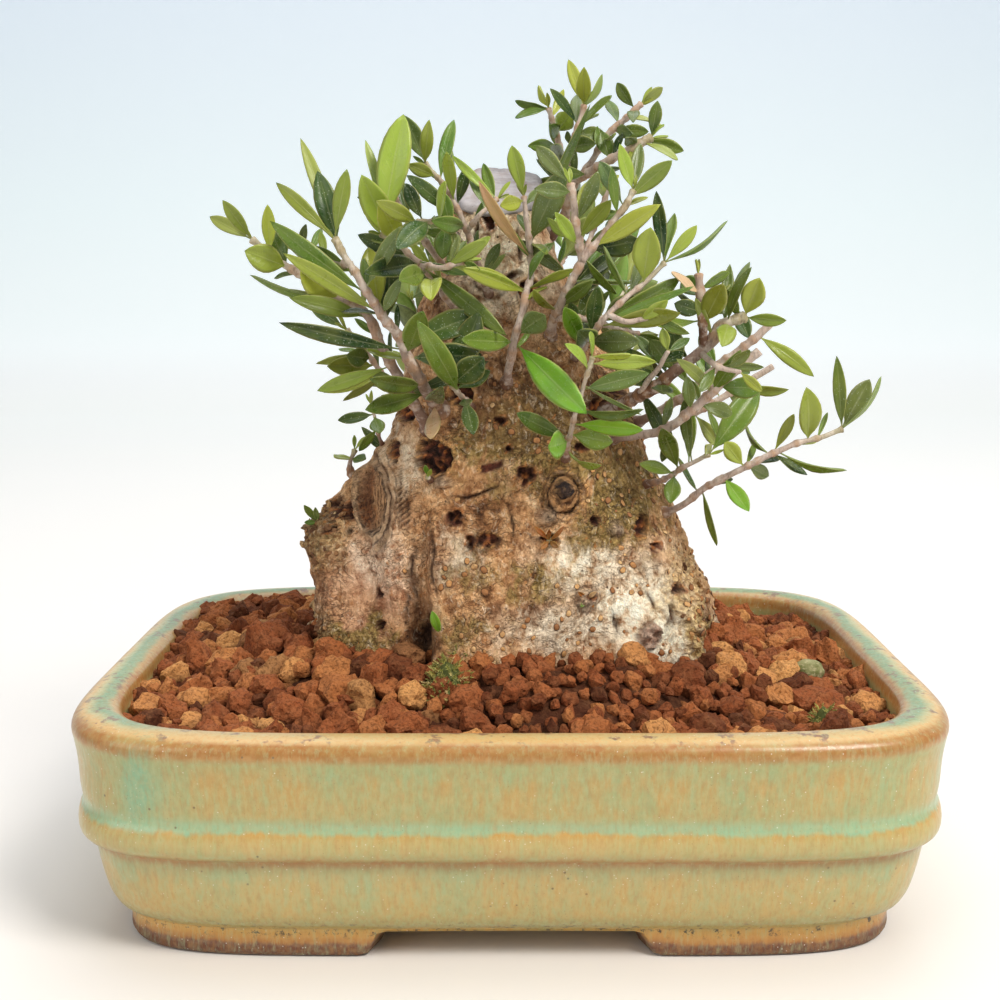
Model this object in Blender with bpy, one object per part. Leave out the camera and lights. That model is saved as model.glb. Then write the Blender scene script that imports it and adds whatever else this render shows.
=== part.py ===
"""Wild olive bonsai in a shallow glazed pot. Metres, +Z up, origin at the bottom centre of the pot.

The front of the pot faces -Y. Lengths below are written in millimetres and turned into metres
where a mesh is made.
"""
import math
import random

import bmesh
import bpy
from mathutils import Vector
from mathutils.bvhtree import BVHTree

MM = 0.001
GAP = 0.3                      # clear space between touching pieces
POCKET_GAP = 0.55              # clear space round the foot of the trunk, whose faces are bent

# Pot
POT_WIDTH = 155.0
POT_DEPTH = 120.0
POT_FOOT_POWER = 7.0           # how square the rounded outline is at the foot
POT_RIM_POWER = 5.6            # and at the rim
CORNER_POINTS = 5              # points of the outline in each quarter, besides the feet's ends
FOOT_HEIGHT = 5.0
FOOT_BAND = 7.0                # width of the foot from its outer edge inwards
FOOT_GAP_X = 23.0              # half of the open stretch between the front feet
FOOT_GAP_Y = 16.0              # half of the open stretch between the side feet
FLOOR_TOP = 10.5
DRAIN_HOLE_RADIUS = 5.5
DRAIN_HOLE_X = 38.0

# The wall's section, from the foot up the outside, over the rim and down the inside:
# height, and how far the surface lies inside the rim's outermost edge.
POT_SECTION = [
    (5.0, 9.0), (7.0, 6.6), (12.0, 4.9), (18.4, 3.9), (19.2, 3.3), (20.4, 1.9), (22.8, 1.4),
    (25.8, 2.0), (33.0, 0.9), (38.0, 0.0), (39.8, 0.7), (40.6, 2.6), (40.6, 5.6), (39.4, 7.4),
    (15.0, 8.8), (FLOOR_TOP, 12.0),
]

# Drain screens
SCREEN_SIZE = 22.0
SCREEN_THICKNESS = 0.8
SCREEN_BARS = 5                # cells across, every second one a hole

# Soil
SOIL_EDGE_HEIGHT = 37.0
SOIL_MOUND = 8.0               # how much higher the soil stands at the trunk
GRANULE_PITCH = 10.8
GRANULE_RELIEF = 2.3
SOIL_SEED = 7

# Trunk
TRUNK_FOOT = 30.0              # lowest point, in its pocket in the soil
TRUNK_TOP = 130.0
TRUNK_RINGS = 23
TRUNK_SEGMENTS = 30
POCKET_RINGS = 7               # rings of the trunk that its pocket in the soil follows
CUT_SLOPE = 0.55               # fall of the sawn top towards the front
# The trunk's outline seen from the front: height, left edge, right edge, half depth.
TRUNK_OUTLINE = [
    (30.0, -35.0, 37.0, 24.0), (42.5, -38.0, 40.0, 26.5), (52.0, -37.0, 38.6, 25.5),
    (60.0, -37.4, 35.4, 24.0), (67.0, -36.0, 32.0, 22.5), (74.6, -32.0, 29.0, 21.0),
    (79.5, -27.0, 27.2, 20.0), (84.0, -23.0, 25.6, 19.0), (90.4, -21.2, 23.0, 17.5),
    (96.2, -20.2, 21.6, 16.5), (102.0, -19.0, 18.6, 15.0), (108.0, -17.4, 14.8, 13.0),
    (113.0, -15.6, 11.6, 11.2), (119.0, -13.2, 9.0, 9.4), (125.0, -11.6, 7.0, 8.0),
    (130.0, -11.0, 6.2, 7.4),
]
# Hollows and swellings of the front: x, height, half width, half height, outward push.
TRUNK_FORMS = [
    (-17.6, 58.0, 2.4, 17.0, -4.2),     # crevice beside the left lobe
    (-17.6, 46.0, 2.8, 5.0, -3.0),      # its dark foot
    (-26.8, 70.6, 3.6, 7.4, -2.0),      # healed oval cut
    (-38.5, 61.0, 6.0, 5.0, 3.4),       # rough spur on the left
    (-14.6, 78.5, 3.4, 3.4, -1.6),      # round scar
    (10.4, 72.0, 4.6, 4.6, 1.8),        # ringed knot
    (10.4, 72.0, 1.8, 1.8, -2.0),       # its eye
    (-9.0, 92.0, 5.0, 4.0, -1.8),       # torn hollow under the left shoots
    (-2.0, 117.0, 3.6, 4.6, -2.6),      # rotted hollow under the sawn top
    (36.0, 50.0, 6.0, 8.0, 1.6),        # corky right flank
]
SEAL_THICKNESS = 1.0

# Leafy shoots
STEM_SIDES = 5
THIN_STEM = 1.25               # a stem thinner than this radius has four sides
LEAF_THICKNESS = 0.9
PETIOLE_WIDTH = 0.8
LONG_LEAF = 15.0               # a blade longer than this gets one more station
FLAT_ON_WIDTH = 2.6            # a blade that looks narrower than this is one turned on edge
COLLAR_REACHES = (1.2, 2.0, 3.0, 4.0, 5.0)   # how far a branch collar may stand out of the bark
COLLAR_IN = 3.0
BACK_SEED = 41


def stem(start_radius, end_radius, route, leaves=()):
    """One stem: its radii, the points of its route, and its leaves.

    A leaf is where along the stem it grows (0 to 1), the place of its tip, and the width it shows.
    """
    return {"radii": (start_radius, end_radius), "route": route, "leaves": list(leaves)}


SHOOTS = {
    "shoot_left_long": [
        stem(1.7, 0.7, [(-12, -11, 88), (-16, -23, 95.5), (-19.5, -27, 103.5), (-23.5, -30, 109.5),
                        (-27, -31, 115.5), (-30, -31, 120.5)], [
            (1, -40, -30, 130, 2.6), (1, -27.5, -33, 132, 3), (0.97, -33, -29, 132, 4.2),
            (0.72, -41, -31, 123.5, 3.6), (0.62, -38, -34, 118, 3), (0.95, -36.5, -27, 138, 2),
            (0.42, -39, -37, 106.5, 3.2), (0.4, -14.5, -40, 108.5, 4.6), (0.22, -24, -36, 97, 3.8),
            (0.14, -25, -34, 91.5, 3.8), (0.08, -11.5, -38, 96, 3.4), (0.04, -14, -30, 86, 3.2),
        ]),
    ],
    "shoot_left_low": [
        stem(1.5, 0.7, [(-14, -12, 84), (-18, -20, 92.5), (-22.5, -23, 101), (-25.5, -24, 107.5),
                        (-31.5, -25, 111), (-37.5, -26, 115), (-40, -26, 116.5), (-45, -26, 120.5)], [
            (1, -52.5, -25, 124.5, 2.6), (1, -49, -28, 127, 2.6), (0.92, -42, -27, 126.5, 2.6),
            (0.84, -45.5, -31, 118.5, 5.2), (0.84, -42, -24, 122, 4.4), (0.62, -36, -31, 115.5, 6.2),
            (0.6, -46, -24, 114.5, 1.4), (0.52, -41, -25, 112, 3), (0.5, -38, -28, 110.5, 3.4),
            (0.3, -34.5, -24, 94, 3),
        ]),
    ],
    "shoot_left_behind": [
        stem(1.2, 0.7, [(-16, -1, 86.5), (-22.5, -8, 94), (-26.5, -12, 100), (-30, -14, 104.5)], [
            (1, -37, -14, 110, 3), (0.6, -30, -16, 100, 4.2), (0.5, -33.5, -17, 98, 4),
            (0.35, -34.5, -15, 93, 2.6), (0.35, -31.5, -10, 91, 2), (0.7, -36.5, -10, 98, 1.4),
        ]),
    ],
    "shoot_left_twig": [
        stem(0.7, 0.5, [(-22, 4, 78), (-24.5, -4, 82), (-25.5, -6, 86), (-26.5, -6, 90)], [
            (0.75, -33, -6, 87, 1.9), (0.7, -24.5, -11, 85, 3.2), (0.35, -29, -6, 81, 2.2),
            (1, -22, -6, 90, 2.2),
        ]),
    ],
    "shoot_left_stub": [
        stem(0.9, 0.7, [(-29, -2, 72), (-31, -4, 77.5), (-30, -4, 81)], [
            (0.6, -33.5, -6, 80.5, 1), (0.5, -27.5, -8, 80, 1.8),
        ]),
    ],
    "shoot_high_left": [
        stem(1.4, 0.7, [(-7.5, -8, 104.5), (-12.5, -18, 112), (-18, -24, 118.5), (-22.5, -26, 121.5)], [
            (1, -18.5, -24, 142, 6.2), (0.9, -25, -34, 131, 5.2), (0.9, -25.5, -24, 138, 1.6),
            (0.8, -22, -36, 126.5, 4.2), (0.7, -27, -22, 121.5, 3.4), (0.6, -24.5, -38, 114.5, 4.4),
            (0.5, -18.5, -40, 113.5, 4), (0.4, -13.5, -36, 110, 4.4),
        ]),
    ],
    "shoot_cut_left": [
        stem(1.1, 1.1, [(-10, -6, 114), (-16, -14, 121), (-22.5, -19, 130.5)], [
            (0.7, -27, -16, 131, 3.6), (0.6, -21, -12, 133, 2.8),
        ]),
    ],
    "shoot_centre_left": [
        stem(1.3, 0.6, [(-3.5, -7, 110), (-4.5, -15, 112.5), (-6, -19, 117), (-8, -20, 123),
                        (-11, -20, 129), (-15, -20, 134)], [
            (1, -18.5, -22, 142, 3.4), (1, -14, -22, 141, 2.6), (0.9, -18, -24, 133.5, 2.6),
            (0.86, -10, -16, 142, 2.8), (0.8, -10.5, -18, 137, 1.4), (0.7, -11, -26, 135.5, 2.4),
            (0.6, -18, -26, 131.5, 3), (0.55, -13.5, -32, 123.5, 3.2),
        ]),
    ],
    "shoot_cross_twig": [
        stem(0.9, 0.5, [(-6, -6, 118.5), (-9, -16, 121), (-11.5, -25, 123.5), (-16, -29, 123.5)], [
            (1, -22.5, -31, 126.5, 3), (0.95, -18, -28, 130, 3), (0.8, -11, -34, 130, 2.2),
            (0.6, -12, -24, 129, 3), (0.9, -19, -36, 118.5, 4.4), (0.7, -12, -33, 116.5, 3.6),
            (0.5, -9.5, -34, 117.5, 2.8),
        ]),
    ],
    "shoot_centre_front": [
        stem(1.4, 0.9, [(-1, -14, 93), (0.5, -22, 101), (2.5, -23, 110), (3.8, -19, 115.5),
                        (3.6, -15.5, 120)], [
            (1, 9.5, -22, 133, 5.4), (1, 14.5, -14, 145, 2), (0.9, -5.5, -28, 130.5, 2.4),
            (0.62, -8.5, -31, 115.5, 3.4), (0.64, 11, -28, 115.5, 2), (0.3, 13, -33, 91, 6),
            (0.3, -8.5, -33, 103.5, 4.2), (0.34, 6, -31, 107.5, 4.8), (1, 6.5, -24, 118, 1.6),
        ]),
    ],
    "shoot_dark_front": [
        stem(0.9, 0.6, [(-6.5, -12, 89.5), (-8.5, -24, 93), (-11, -28, 96)], [
            (0.9, -5.5, -26, 108, 5.6), (0.9, -4.5, -33, 100.5, 5.2), (0.8, -3.5, -30, 98, 3.2),
            (0.5, -7.5, -31, 92, 2.6), (0.4, -6.5, -28, 86.5, 3.2), (0.7, -15.5, -36, 107, 4.4),
            (1, -19, -36, 90.5, 2.6),
        ]),
    ],
    "shoot_top": [
        stem(1.8, 1.2, [(1, 3, 117), (10, 2, 124.5), (12, -2, 131.5), (18.5, -8, 135.5), (23, -9, 138),
                        (26, -9, 139.5)], [
            (1, 27, -10, 146, 2.6), (0.97, 32, -10, 137, 2.8), (0.94, 30.5, -11, 135, 2),
            (0.9, 21, -13, 139, 1.8), (0.85, 23, -13, 134, 2.2), (0.6, 16, -14, 130, 3.2),
            (0.5, 7, -12, 133, 3), (0.7, 17, -6, 141, 3.4), (0.35, 14, 8, 131, 3.2),
            (0.4, 4, 8, 132, 3.0),
        ]),
        stem(1.2, 0.7, [(11.2, 0, 128.5), (10.8, 3, 135), (9, 3, 141.5), (7.5, 2, 146)], [
            (1, 1, 2, 147.5, 2), (1, 1, 0, 144, 2), (1, 5.5, 3, 150.5, 1.6), (0.75, 11.5, -4, 144.5, 4.2),
            (0.7, 7.5, -2, 142.5, 3), (0.62, 3.5, 2, 139, 2.4), (0.6, 3.5, -2, 138.5, 2.8),
            (0.5, 8, 9, 146, 2.4), (0.45, 7.5, -8, 138, 3.6),
        ]),
        stem(1.1, 0.7, [(11.5, -2, 131.5), (11.7, -2.5, 138), (12.5, -3, 141), (14, -3, 146)], [
            (1, 11, -2, 154.5, 2.6), (1, 13.5, -7, 152, 3), (0.96, 17.5, -1, 152, 2),
            (0.7, 19, -6, 147.5, 1.8), (0.62, 18, -2, 141, 3.2), (0.45, 16, -8, 138.5, 3.4),
            (0.7, 13, 5, 149, 2.4),
        ]),
        stem(1.1, 0.8, [(13, -3.5, 132.5), (16, -4, 136.5), (18, -5, 140), (20.5, -5, 142.5),
                        (24.5, -5, 146)], [
            (0.92, 20, -4, 150, 2.4), (1, 28.5, -5, 149, 1.6), (0.7, 18.5, 0, 147.5, 2.2),
            (0.65, 22.5, -10, 140, 1.8), (0.6, 26, -8, 141, 2.6), (0.5, 18.5, -12, 139.5, 2.4),
            (0.9, 22.5, -11, 142, 2.6), (0.8, 29, -4, 142, 1.6),
        ]),
    ],
    "shoot_fork": [
        stem(1.8, 0.8, [(6.5, -6, 99.5), (8, -18, 106), (10, -22, 111.5), (13, -23, 117.5),
                        (16.5, -23, 121.5), (19.5, -24, 125.5), (21.5, -24, 129)], [
            (1, 19, -24, 137, 2.8), (1, 23, -23, 137.5, 2.6), (0.95, 28, -26, 134, 3.4),
            (0.9, 16, -18, 134.5, 3.2), (0.84, 17.5, -26, 133, 2.4), (0.62, 26, -27, 126.5, 3.8),
            (0.6, 23, -24, 120.5, 4.6), (0.55, 19, -22, 111, 1.8), (0.4, 22.5, -20, 113, 1.2),
            (0.25, 14.5, -27, 113.5, 2.8), (0.35, 20, -20, 119, 3), (0.2, 4, -27, 112, 1.8),
        ]),
        stem(1.3, 1.0, [(12.7, -23, 116.8), (11.5, -25, 123), (11, -25, 127.5), (10.5, -25, 130)], [
            (0.3, 17, -32, 127, 3.2), (0.5, 15, -29, 132, 3), (0.3, 6.5, -22, 124.5, 2.2),
            (0.55, 14, -20, 131, 2.6), (0.2, 7.5, -28, 125, 2.4), (1, 4.5, -20, 137, 3.2),
            (0.9, 4, -29, 129, 3.2),
        ]),
        stem(0.9, 0.6, [(13.2, -23, 118), (15.5, -19, 124.5), (18, -17, 130.5)], [
            (0.7, 19.5, -13, 124, 2.6), (0.4, 14, -13, 122, 2.8),
        ]),
    ],
    "shoot_mid_right": [
        stem(1.2, 0.7, [(11, -9, 98), (13.5, -22, 102), (15.8, -26.5, 106), (19.5, -27, 110),
                        (23, -26, 112.5), (27, -25, 116.5)], [
            (1, 25.5, -24, 129, 2.4), (1, 29.5, -21, 125.5, 1.6), (1, 32.5, -26, 123, 2.6),
            (1, 38.5, -25, 124, 1.2), (0.82, 24, -30, 122.5, 5.4), (0.7, 16, -28, 119.5, 1.4),
            (0.55, 30, -24, 114, 3.6), (0.5, 31.5, -28, 112.5, 1.4), (0.35, 15, -30, 112.5, 3.4),
            (0.3, 11.5, -33, 105, 5.4), (0.3, 22.5, -30, 103, 4.6), (0.45, 29, -31, 108, 3.6),
            (0.25, 9, -35, 109, 3.6),
        ]),
    ],
    "shoot_front_twig": [
        stem(1.0, 0.6, [(10, -15, 79), (10.5, -27, 86), (11.5, -31, 91.5), (13, -33, 97),
                        (14, -34, 100.5)], [
            (1, 13.5, -35, 105, 1.4), (1, 20.5, -36, 101, 1.8), (0.95, 25.5, -33, 99.5, 3.2),
            (0.9, 9, -38, 103, 1.6), (0.75, 23.5, -37, 98, 3.6), (0.6, 22.5, -38, 92, 1.6),
            (0.45, 22.5, -38, 88.5, 3.4), (0.3, 1, -34, 91, 3.4), (0.25, 6.5, -35, 85.5, 5.4),
            (0.35, 18, -30, 85.5, 4.2), (0.1, 16, -31, 81.5, 1.6),
        ]),
    ],
    "shoot_right_gnarled": [
        stem(1.8, 1.3, [(14, -6, 86.5), (22, -16, 91.5), (27, -20, 95), (32, -21, 99), (36, -21, 102.5),
                        (38, -21, 105.5), (42, -21, 107)], [
            (1, 44, -24, 114, 4.6), (1, 49, -24, 106.5, 2.6), (0.97, 38.5, -22, 112, 2.2),
            (0.9, 37, -28, 102, 4), (0.88, 40, -19, 116.5, 2.6), (0.9, 42.5, -18, 117, 1.4),
            (0.85, 44.5, -17, 117, 1), (0.55, 29, -20, 105, 3.6), (0.5, 25, -22, 103, 3.8),
            (0.45, 25.5, -14, 104.5, 2.6), (0.5, 29.5, -13, 106.5, 2.4), (0.35, 21, -22, 101.5, 4),
            (0.35, 18.5, -24, 98.5, 4), (0.4, 27, -27, 94, 4.4),
        ]),
        stem(1.2, 0.9, [(34.8, -21, 101.3), (34.5, -22, 106.5), (34, -22, 110.5), (33.5, -22, 114.5)], [
            (0.35, 37, -28, 113, 4.6), (0.5, 29, -24, 109.5, 3.4), (0.5, 39, -17, 110, 4.2),
            (0.7, 31.5, -16, 114, 4), (0.75, 28, -24, 115, 1.6), (0.8, 39.5, -19, 115, 2),
            (0.4, 24, -27, 106.5, 1.8),
        ]),
    ],
    "shoot_right_cut_front": [
        stem(1.5, 1.4, [(18, -12, 84), (28, -19, 86.5), (32.5, -21, 90), (38.5, -22, 95.5),
                        (44.5, -23, 101)], [
            (0.65, 29, -28, 100, 2.2), (0.5, 31, -27, 97, 2.6), (0.55, 40.5, -20, 89.5, 3.2),
            (0.65, 40.5, -27, 101.5, 3.6), (0.7, 45, -25, 94.5, 4.2),
        ]),
    ],
    "shoot_right_cut_back": [
        stem(1.5, 1.3, [(18, -1, 83), (29, -8, 89), (34, -11, 93), (39, -13, 98), (44.5, -14, 102.5),
                        (48, -14, 105.5)], [
            (0.9, 56, -16, 96, 3), (0.85, 42.5, -10, 108, 3.2), (0.6, 35.5, -10, 103.5, 2.6),
            (0.4, 29, -6, 100, 2.8), (0.45, 36, -2, 97, 2.4), (0.7, 46, -6, 96, 2.8),
        ]),
    ],
    "shoot_right_far": [
        stem(1.2, 1.1, [(17, 6, 80), (30, 8, 83.5), (40, 8, 88.5), (48, 8, 93.5), (53, 8, 96.5)], [
            (0.75, 56, 6, 92, 2.2), (0.65, 49.5, 12, 89, 2.4), (0.5, 42, 6, 82, 2), (0.4, 43, 12, 80, 3),
            (0.6, 38, 12, 99, 2.8), (0.4, 30, 14, 94, 2.8),
        ]),
    ],
    "shoot_right_low": [
        stem(1.3, 0.8, [(24, -1, 66), (31.5, -10, 70.5), (38, -14, 76), (44.5, -17, 80), (50.5, -18, 83),
                        (57, -18, 85), (61, -18, 86.5)], [
            (1, 59.5, -18, 100, 2.6), (1, 66.5, -15, 95.5, 4.4), (1, 67, -21, 96.5, 1.2),
            (1, 64.5, -18, 89.5, 1.4), (0.82, 53.5, -21, 94.5, 5), (0.66, 62, -19, 79, 1),
            (0.62, 44, -13, 87, 1.2), (0.5, 49, -12, 77, 3), (0.48, 39, -21, 84.5, 3.4),
            (0.36, 44, -20, 71.5, 3.4), (0.22, 39.5, -12, 63.5, 1.2), (0.2, 32.5, -8, 80, 1.2),
        ]),
    ],
    "shoot_right_low_twig": [
        stem(1.0, 0.7, [(21, -5, 72.5), (30, -13, 77), (32.5, -17, 79.5), (36.5, -19, 82)], [
            (1, 46.5, -19, 94, 5.4), (1, 35, -26, 84.5, 2.4), (0.75, 32, -20, 92, 2.6),
            (0.6, 25, -17, 92.5, 3), (0.5, 27, -22, 87.5, 3.6), (0.4, 23.5, -21, 80.5, 2.2),
            (0.4, 29.5, -20, 73, 3.4), (0.7, 34, -12, 90, 2.6),
        ]),
    ],
    "shoot_back_left_high": [stem(1.3, 0.7, [(-6, 5, 106), (-13, 17, 112), (-18, 25, 119)])],
    "shoot_back_left": [stem(1.4, 0.7, [(-9, 8, 94), (-17, 23, 101), (-21, 33, 109)])],
    "shoot_back_left_low": [stem(1.3, 0.7, [(-11, 10, 80), (-18, 27, 86), (-21, 37, 92)])],
    "shoot_back_middle_high": [stem(1.3, 0.7, [(-2, 5, 112), (-3, 18, 117), (-6, 29, 123)])],
    "shoot_back_middle": [stem(1.4, 0.7, [(1, 8, 95), (2, 26, 103), (3, 37, 111)])],
    "shoot_back_middle_low": [stem(1.3, 0.7, [(3, 12, 77), (6, 31, 84), (8, 41, 90)])],
    "shoot_back_right_high": [stem(1.3, 0.7, [(3, 5, 109), (10, 18, 116), (14, 27, 124)])],
    "shoot_back_right": [stem(1.4, 0.7, [(8, 6, 96), (19, 20, 105), (25, 28, 112)])],
    "shoot_back_right_low": [stem(1.3, 0.7, [(10, 9, 85), (20, 26, 91), (26, 36, 97)])],
}
BACK_PAIRS = 5
BACK_LEAF_LENGTH = (9.0, 13.5)
BACK_LEAF_WIDTH = (3.0, 4.6)

# Where a leaf would meet another shoot, its tip is moved in depth, or the leaf is made shorter.
LEAF_TRIES = [
    (0, 1), (-3, 1), (3, 1), (-6, 1), (6, 1), (0, 0.82), (-5, 0.85), (5, 0.85), (-9, 0.9), (9, 0.9),
    (0, 0.66), (-5, 0.7), (5, 0.7),
]
SHORTEST_LEAF = 4.0


def clear_scene():
    for item in list(bpy.data.objects):
        bpy.data.objects.remove(item, do_unlink=True)


def material(name, colour, roughness, metallic=0.0):
    made = bpy.data.materials.new(name)
    made.use_nodes = True
    shader = made.node_tree.nodes["Principled BSDF"]
    shader.inputs["Base Color"].default_value = (*colour, 1.0)
    shader.inputs["Roughness"].default_value = roughness
    shader.inputs["Metallic"].default_value = metallic
    return made


def add_object(name, verts, faces, finish=None):
    """A mesh object from points in millimetres."""
    mesh = bpy.data.meshes.new(name)
    mesh.from_pydata([(x * MM, y * MM, z * MM) for x, y, z in verts], [], faces)
    mesh.update()
    made = bpy.data.objects.new(name, mesh)
    bpy.context.scene.collection.objects.link(made)
    if finish:
        mesh.materials.append(finish)
    return made


def add_cutter(name, verts, faces):
    cutter = add_object(name, verts, faces)
    cutter.hide_render = True
    cutter.display_type = "WIRE"
    return cutter


def cut(target, cutter, operation="DIFFERENCE"):
    modifier = target.modifiers.new(cutter.name, "BOOLEAN")
    modifier.operation = operation
    modifier.object = cutter
    modifier.solver = "EXACT"


def join_rings(rings, close_ends=True):
    """Faces between rings of equal length, listed from the bottom up, with flat ends."""
    count = len(rings[0])
    verts = [point for ring in rings for point in ring]
    faces = []
    for low in range(len(rings) - 1):
        for i in range(count):
            j = (i + 1) % count
            faces.append((low * count + i, low * count + j, (low + 1) * count + j, (low + 1) * count + i))
    if close_ends:
        faces.append(tuple(reversed(range(count))))
        faces.append(tuple(range((len(rings) - 1) * count, len(rings) * count)))
    return verts, faces


def box(low, high):
    (x0, y0, z0), (x1, y1, z1) = low, high
    rings = [[(x0, y0, z), (x1, y0, z), (x1, y1, z), (x0, y1, z)] for z in (z0, z1)]
    return join_rings(rings)


def smoothstep(low, high, value):
    t = min(1.0, max(0.0, (value - low) / (high - low)))
    return t * t * (3.0 - 2.0 * t)


def outline_turns():
    """Directions of the outline's points, which gather at the corners and mark the feet's ends."""
    foot_inset = POT_SECTION[0][1]
    quarter = [math.atan2(FOOT_GAP_Y, POT_DEPTH / 2 - foot_inset),
               math.atan2(POT_WIDTH / 2 - foot_inset, FOOT_GAP_X)]
    for i in range(CORNER_POINTS):
        share = (i + 0.5) / CORNER_POINTS
        bent = 0.5 + 4.0 * (share - 0.5) ** 3
        quarter.append((0.45 * share + 0.55 * bent) * math.pi / 2)
    quarter.sort()
    turns = []
    for number in range(4):
        if number % 2:
            turns += [(number + 1) * math.pi / 2 - turn for turn in reversed(quarter)]
        else:
            turns += [number * math.pi / 2 + turn for turn in quarter]
    return turns


def pot_outline(inset, height):
    """The pot's rounded outline, a given distance inside the rim's outer edge."""
    half_x = POT_WIDTH / 2 - inset
    half_y = POT_DEPTH / 2 - inset
    inside = inset > 7.0 and height > 8.0
    rise = 1.0 if inside else smoothstep(16.0, 38.0, height)
    power = POT_FOOT_POWER + (POT_RIM_POWER - POT_FOOT_POWER) * rise
    ring = []
    for angle in outline_turns():
        c, s = math.cos(angle), math.sin(angle)
        scale = (abs(c) ** power + abs(s) ** power) ** (-1 / power)
        ring.append((half_x * c * scale, half_y * s * scale, height))
    return ring


def make_pot():
    foot_inset = POT_SECTION[0][1]
    rings = [pot_outline(foot_inset + FOOT_BAND, FOOT_HEIGHT)]
    rings += [pot_outline(inset, height) for height, inset in POT_SECTION]
    verts, faces = join_rings(rings)
    glaze = material("green_glaze", (0.30, 0.36, 0.27), 0.22)
    pot = add_object("pot", verts, faces, glaze)
    shape = bmesh.new()
    shape.from_mesh(pot.data)
    under = []
    for face in shape.faces:
        middle = face.calc_center_median() / MM
        flat = all(abs(v.co.z / MM - FOOT_HEIGHT) < 0.01 for v in face.verts)
        if flat and len(face.verts) == 4 and abs(middle.x) > FOOT_GAP_X and abs(middle.y) > FOOT_GAP_Y:
            under.append(face)
    grown = bmesh.ops.extrude_face_region(shape, geom=under)
    for item in grown["geom"]:
        if isinstance(item, bmesh.types.BMVert):
            item.co.z = 0.0
    bmesh.ops.delete(shape, geom=under, context="FACES_ONLY")
    bmesh.ops.recalc_face_normals(shape, faces=shape.faces)
    shape.to_mesh(pot.data)
    shape.free()
    pot.data.shade_smooth()
    pot.data.set_sharp_from_angle(angle=math.radians(40))
    for side in (-1, 1):
        rings = []
        for height in (FOOT_HEIGHT - 2, FLOOR_TOP + 2):
            turns = [2 * math.pi * i / 16 for i in range(16)]
            rings.append([(side * DRAIN_HOLE_X + DRAIN_HOLE_RADIUS * math.cos(a),
                           DRAIN_HOLE_RADIUS * math.sin(a), height) for a in turns])
        cutter = add_cutter("drain_cutter_left" if side < 0 else "drain_cutter_right", *join_rings(rings))
        cut(pot, cutter)
    return pot


def make_screen(name, side):
    """A square of plastic mesh that lies on the floor over a drain hole."""
    cell = SCREEN_SIZE / SCREEN_BARS
    shape = bmesh.new()
    corners = {}
    for i in range(SCREEN_BARS + 1):
        for j in range(SCREEN_BARS + 1):
            x = side * DRAIN_HOLE_X - SCREEN_SIZE / 2 + i * cell
            y = -SCREEN_SIZE / 2 + j * cell
            corners[i, j] = shape.verts.new((x * MM, y * MM, (FLOOR_TOP + GAP) * MM))
    for i in range(SCREEN_BARS):
        for j in range(SCREEN_BARS):
            if i % 2 and j % 2:
                continue
            shape.faces.new((corners[i, j], corners[i + 1, j], corners[i + 1, j + 1], corners[i, j + 1]))
    grown = bmesh.ops.extrude_face_region(shape, geom=list(shape.faces))
    for item in grown["geom"]:
        if isinstance(item, bmesh.types.BMVert):
            item.co.z += SCREEN_THICKNESS * MM
    bmesh.ops.recalc_face_normals(shape, faces=shape.faces)
    mesh = bpy.data.meshes.new(name)
    shape.to_mesh(mesh)
    shape.free()
    mesh.materials.append(material(name + "_plastic", (0.05, 0.05, 0.05), 0.6))
    made = bpy.data.objects.new(name, mesh)
    bpy.context.scene.collection.objects.link(made)
    return made


def trunk_size(height):
    """Middle, half width and half depth of the trunk at a height, read from its outline."""
    rows = TRUNK_OUTLINE
    height = min(max(height, rows[0][0]), rows[-1][0])
    for low, high in zip(rows, rows[1:]):
        if height <= high[0]:
            break
    t = (height - low[0]) / (high[0] - low[0])
    t = t * t * (3 - 2 * t) * 0.5 + t * 0.5
    left, right, deep = (low[k] + (high[k] - low[k]) * t for k in (1, 2, 3))
    return (left + right) / 2, (right - left) / 2, deep


def trunk_point(angle, height, grow=0.0):
    """A point of the bark. The angle is 0 on the right and turns from the front to the left."""
    middle, half_width, half_depth = trunk_size(height)
    c, s = math.cos(angle), -math.sin(angle)
    scale = (abs(c) ** 2.3 + abs(s) ** 2.3) ** (-1 / 2.3)
    roots = 1 - smoothstep(44, 74, height)
    flutes = 0.055 * roots * math.cos(7 * angle + 0.6) + 0.03 * math.cos(5 * angle + height / 14)
    flutes += 0.02 * math.cos(9 * angle - height / 9)
    reach = scale * (1 + flutes)
    x = middle + half_width * c * reach
    y = half_depth * s * reach
    push = grow
    for form_x, form_z, wide, tall, out in TRUNK_FORMS:
        beside = (x - form_x) / wide
        above = (height - form_z) / tall
        if s < 0.25:
            push += out * math.exp(-(beside * beside + above * above))
    x += c * push
    y += s * push
    slope = smoothstep(110, TRUNK_TOP, height)
    return x, y, height + slope * CUT_SLOPE * y


def trunk_ring(height, grow=0.0):
    turns = [2 * math.pi * i / TRUNK_SEGMENTS for i in range(TRUNK_SEGMENTS)]
    return [trunk_point(-angle, height, grow) for angle in turns]


def trunk_heights():
    step = (TRUNK_TOP - TRUNK_FOOT) / (TRUNK_RINGS - 1)
    return [TRUNK_FOOT + step * i for i in range(TRUNK_RINGS)]


def make_trunk_body():
    return join_rings([trunk_ring(height) for height in trunk_heights()])


def make_wound_seal():
    """The coat of cut paste on the sawn top."""
    low = [(x, y, z + GAP) for x, y, z in trunk_ring(TRUNK_TOP)]
    high = [(x * 0.96 - 0.1, y * 0.96, z + GAP + SEAL_THICKNESS) for x, y, z in trunk_ring(TRUNK_TOP)]
    return add_object("wound_seal", *join_rings([low, high]), material("cut_paste", (0.42, 0.40, 0.41), 0.7))


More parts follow.
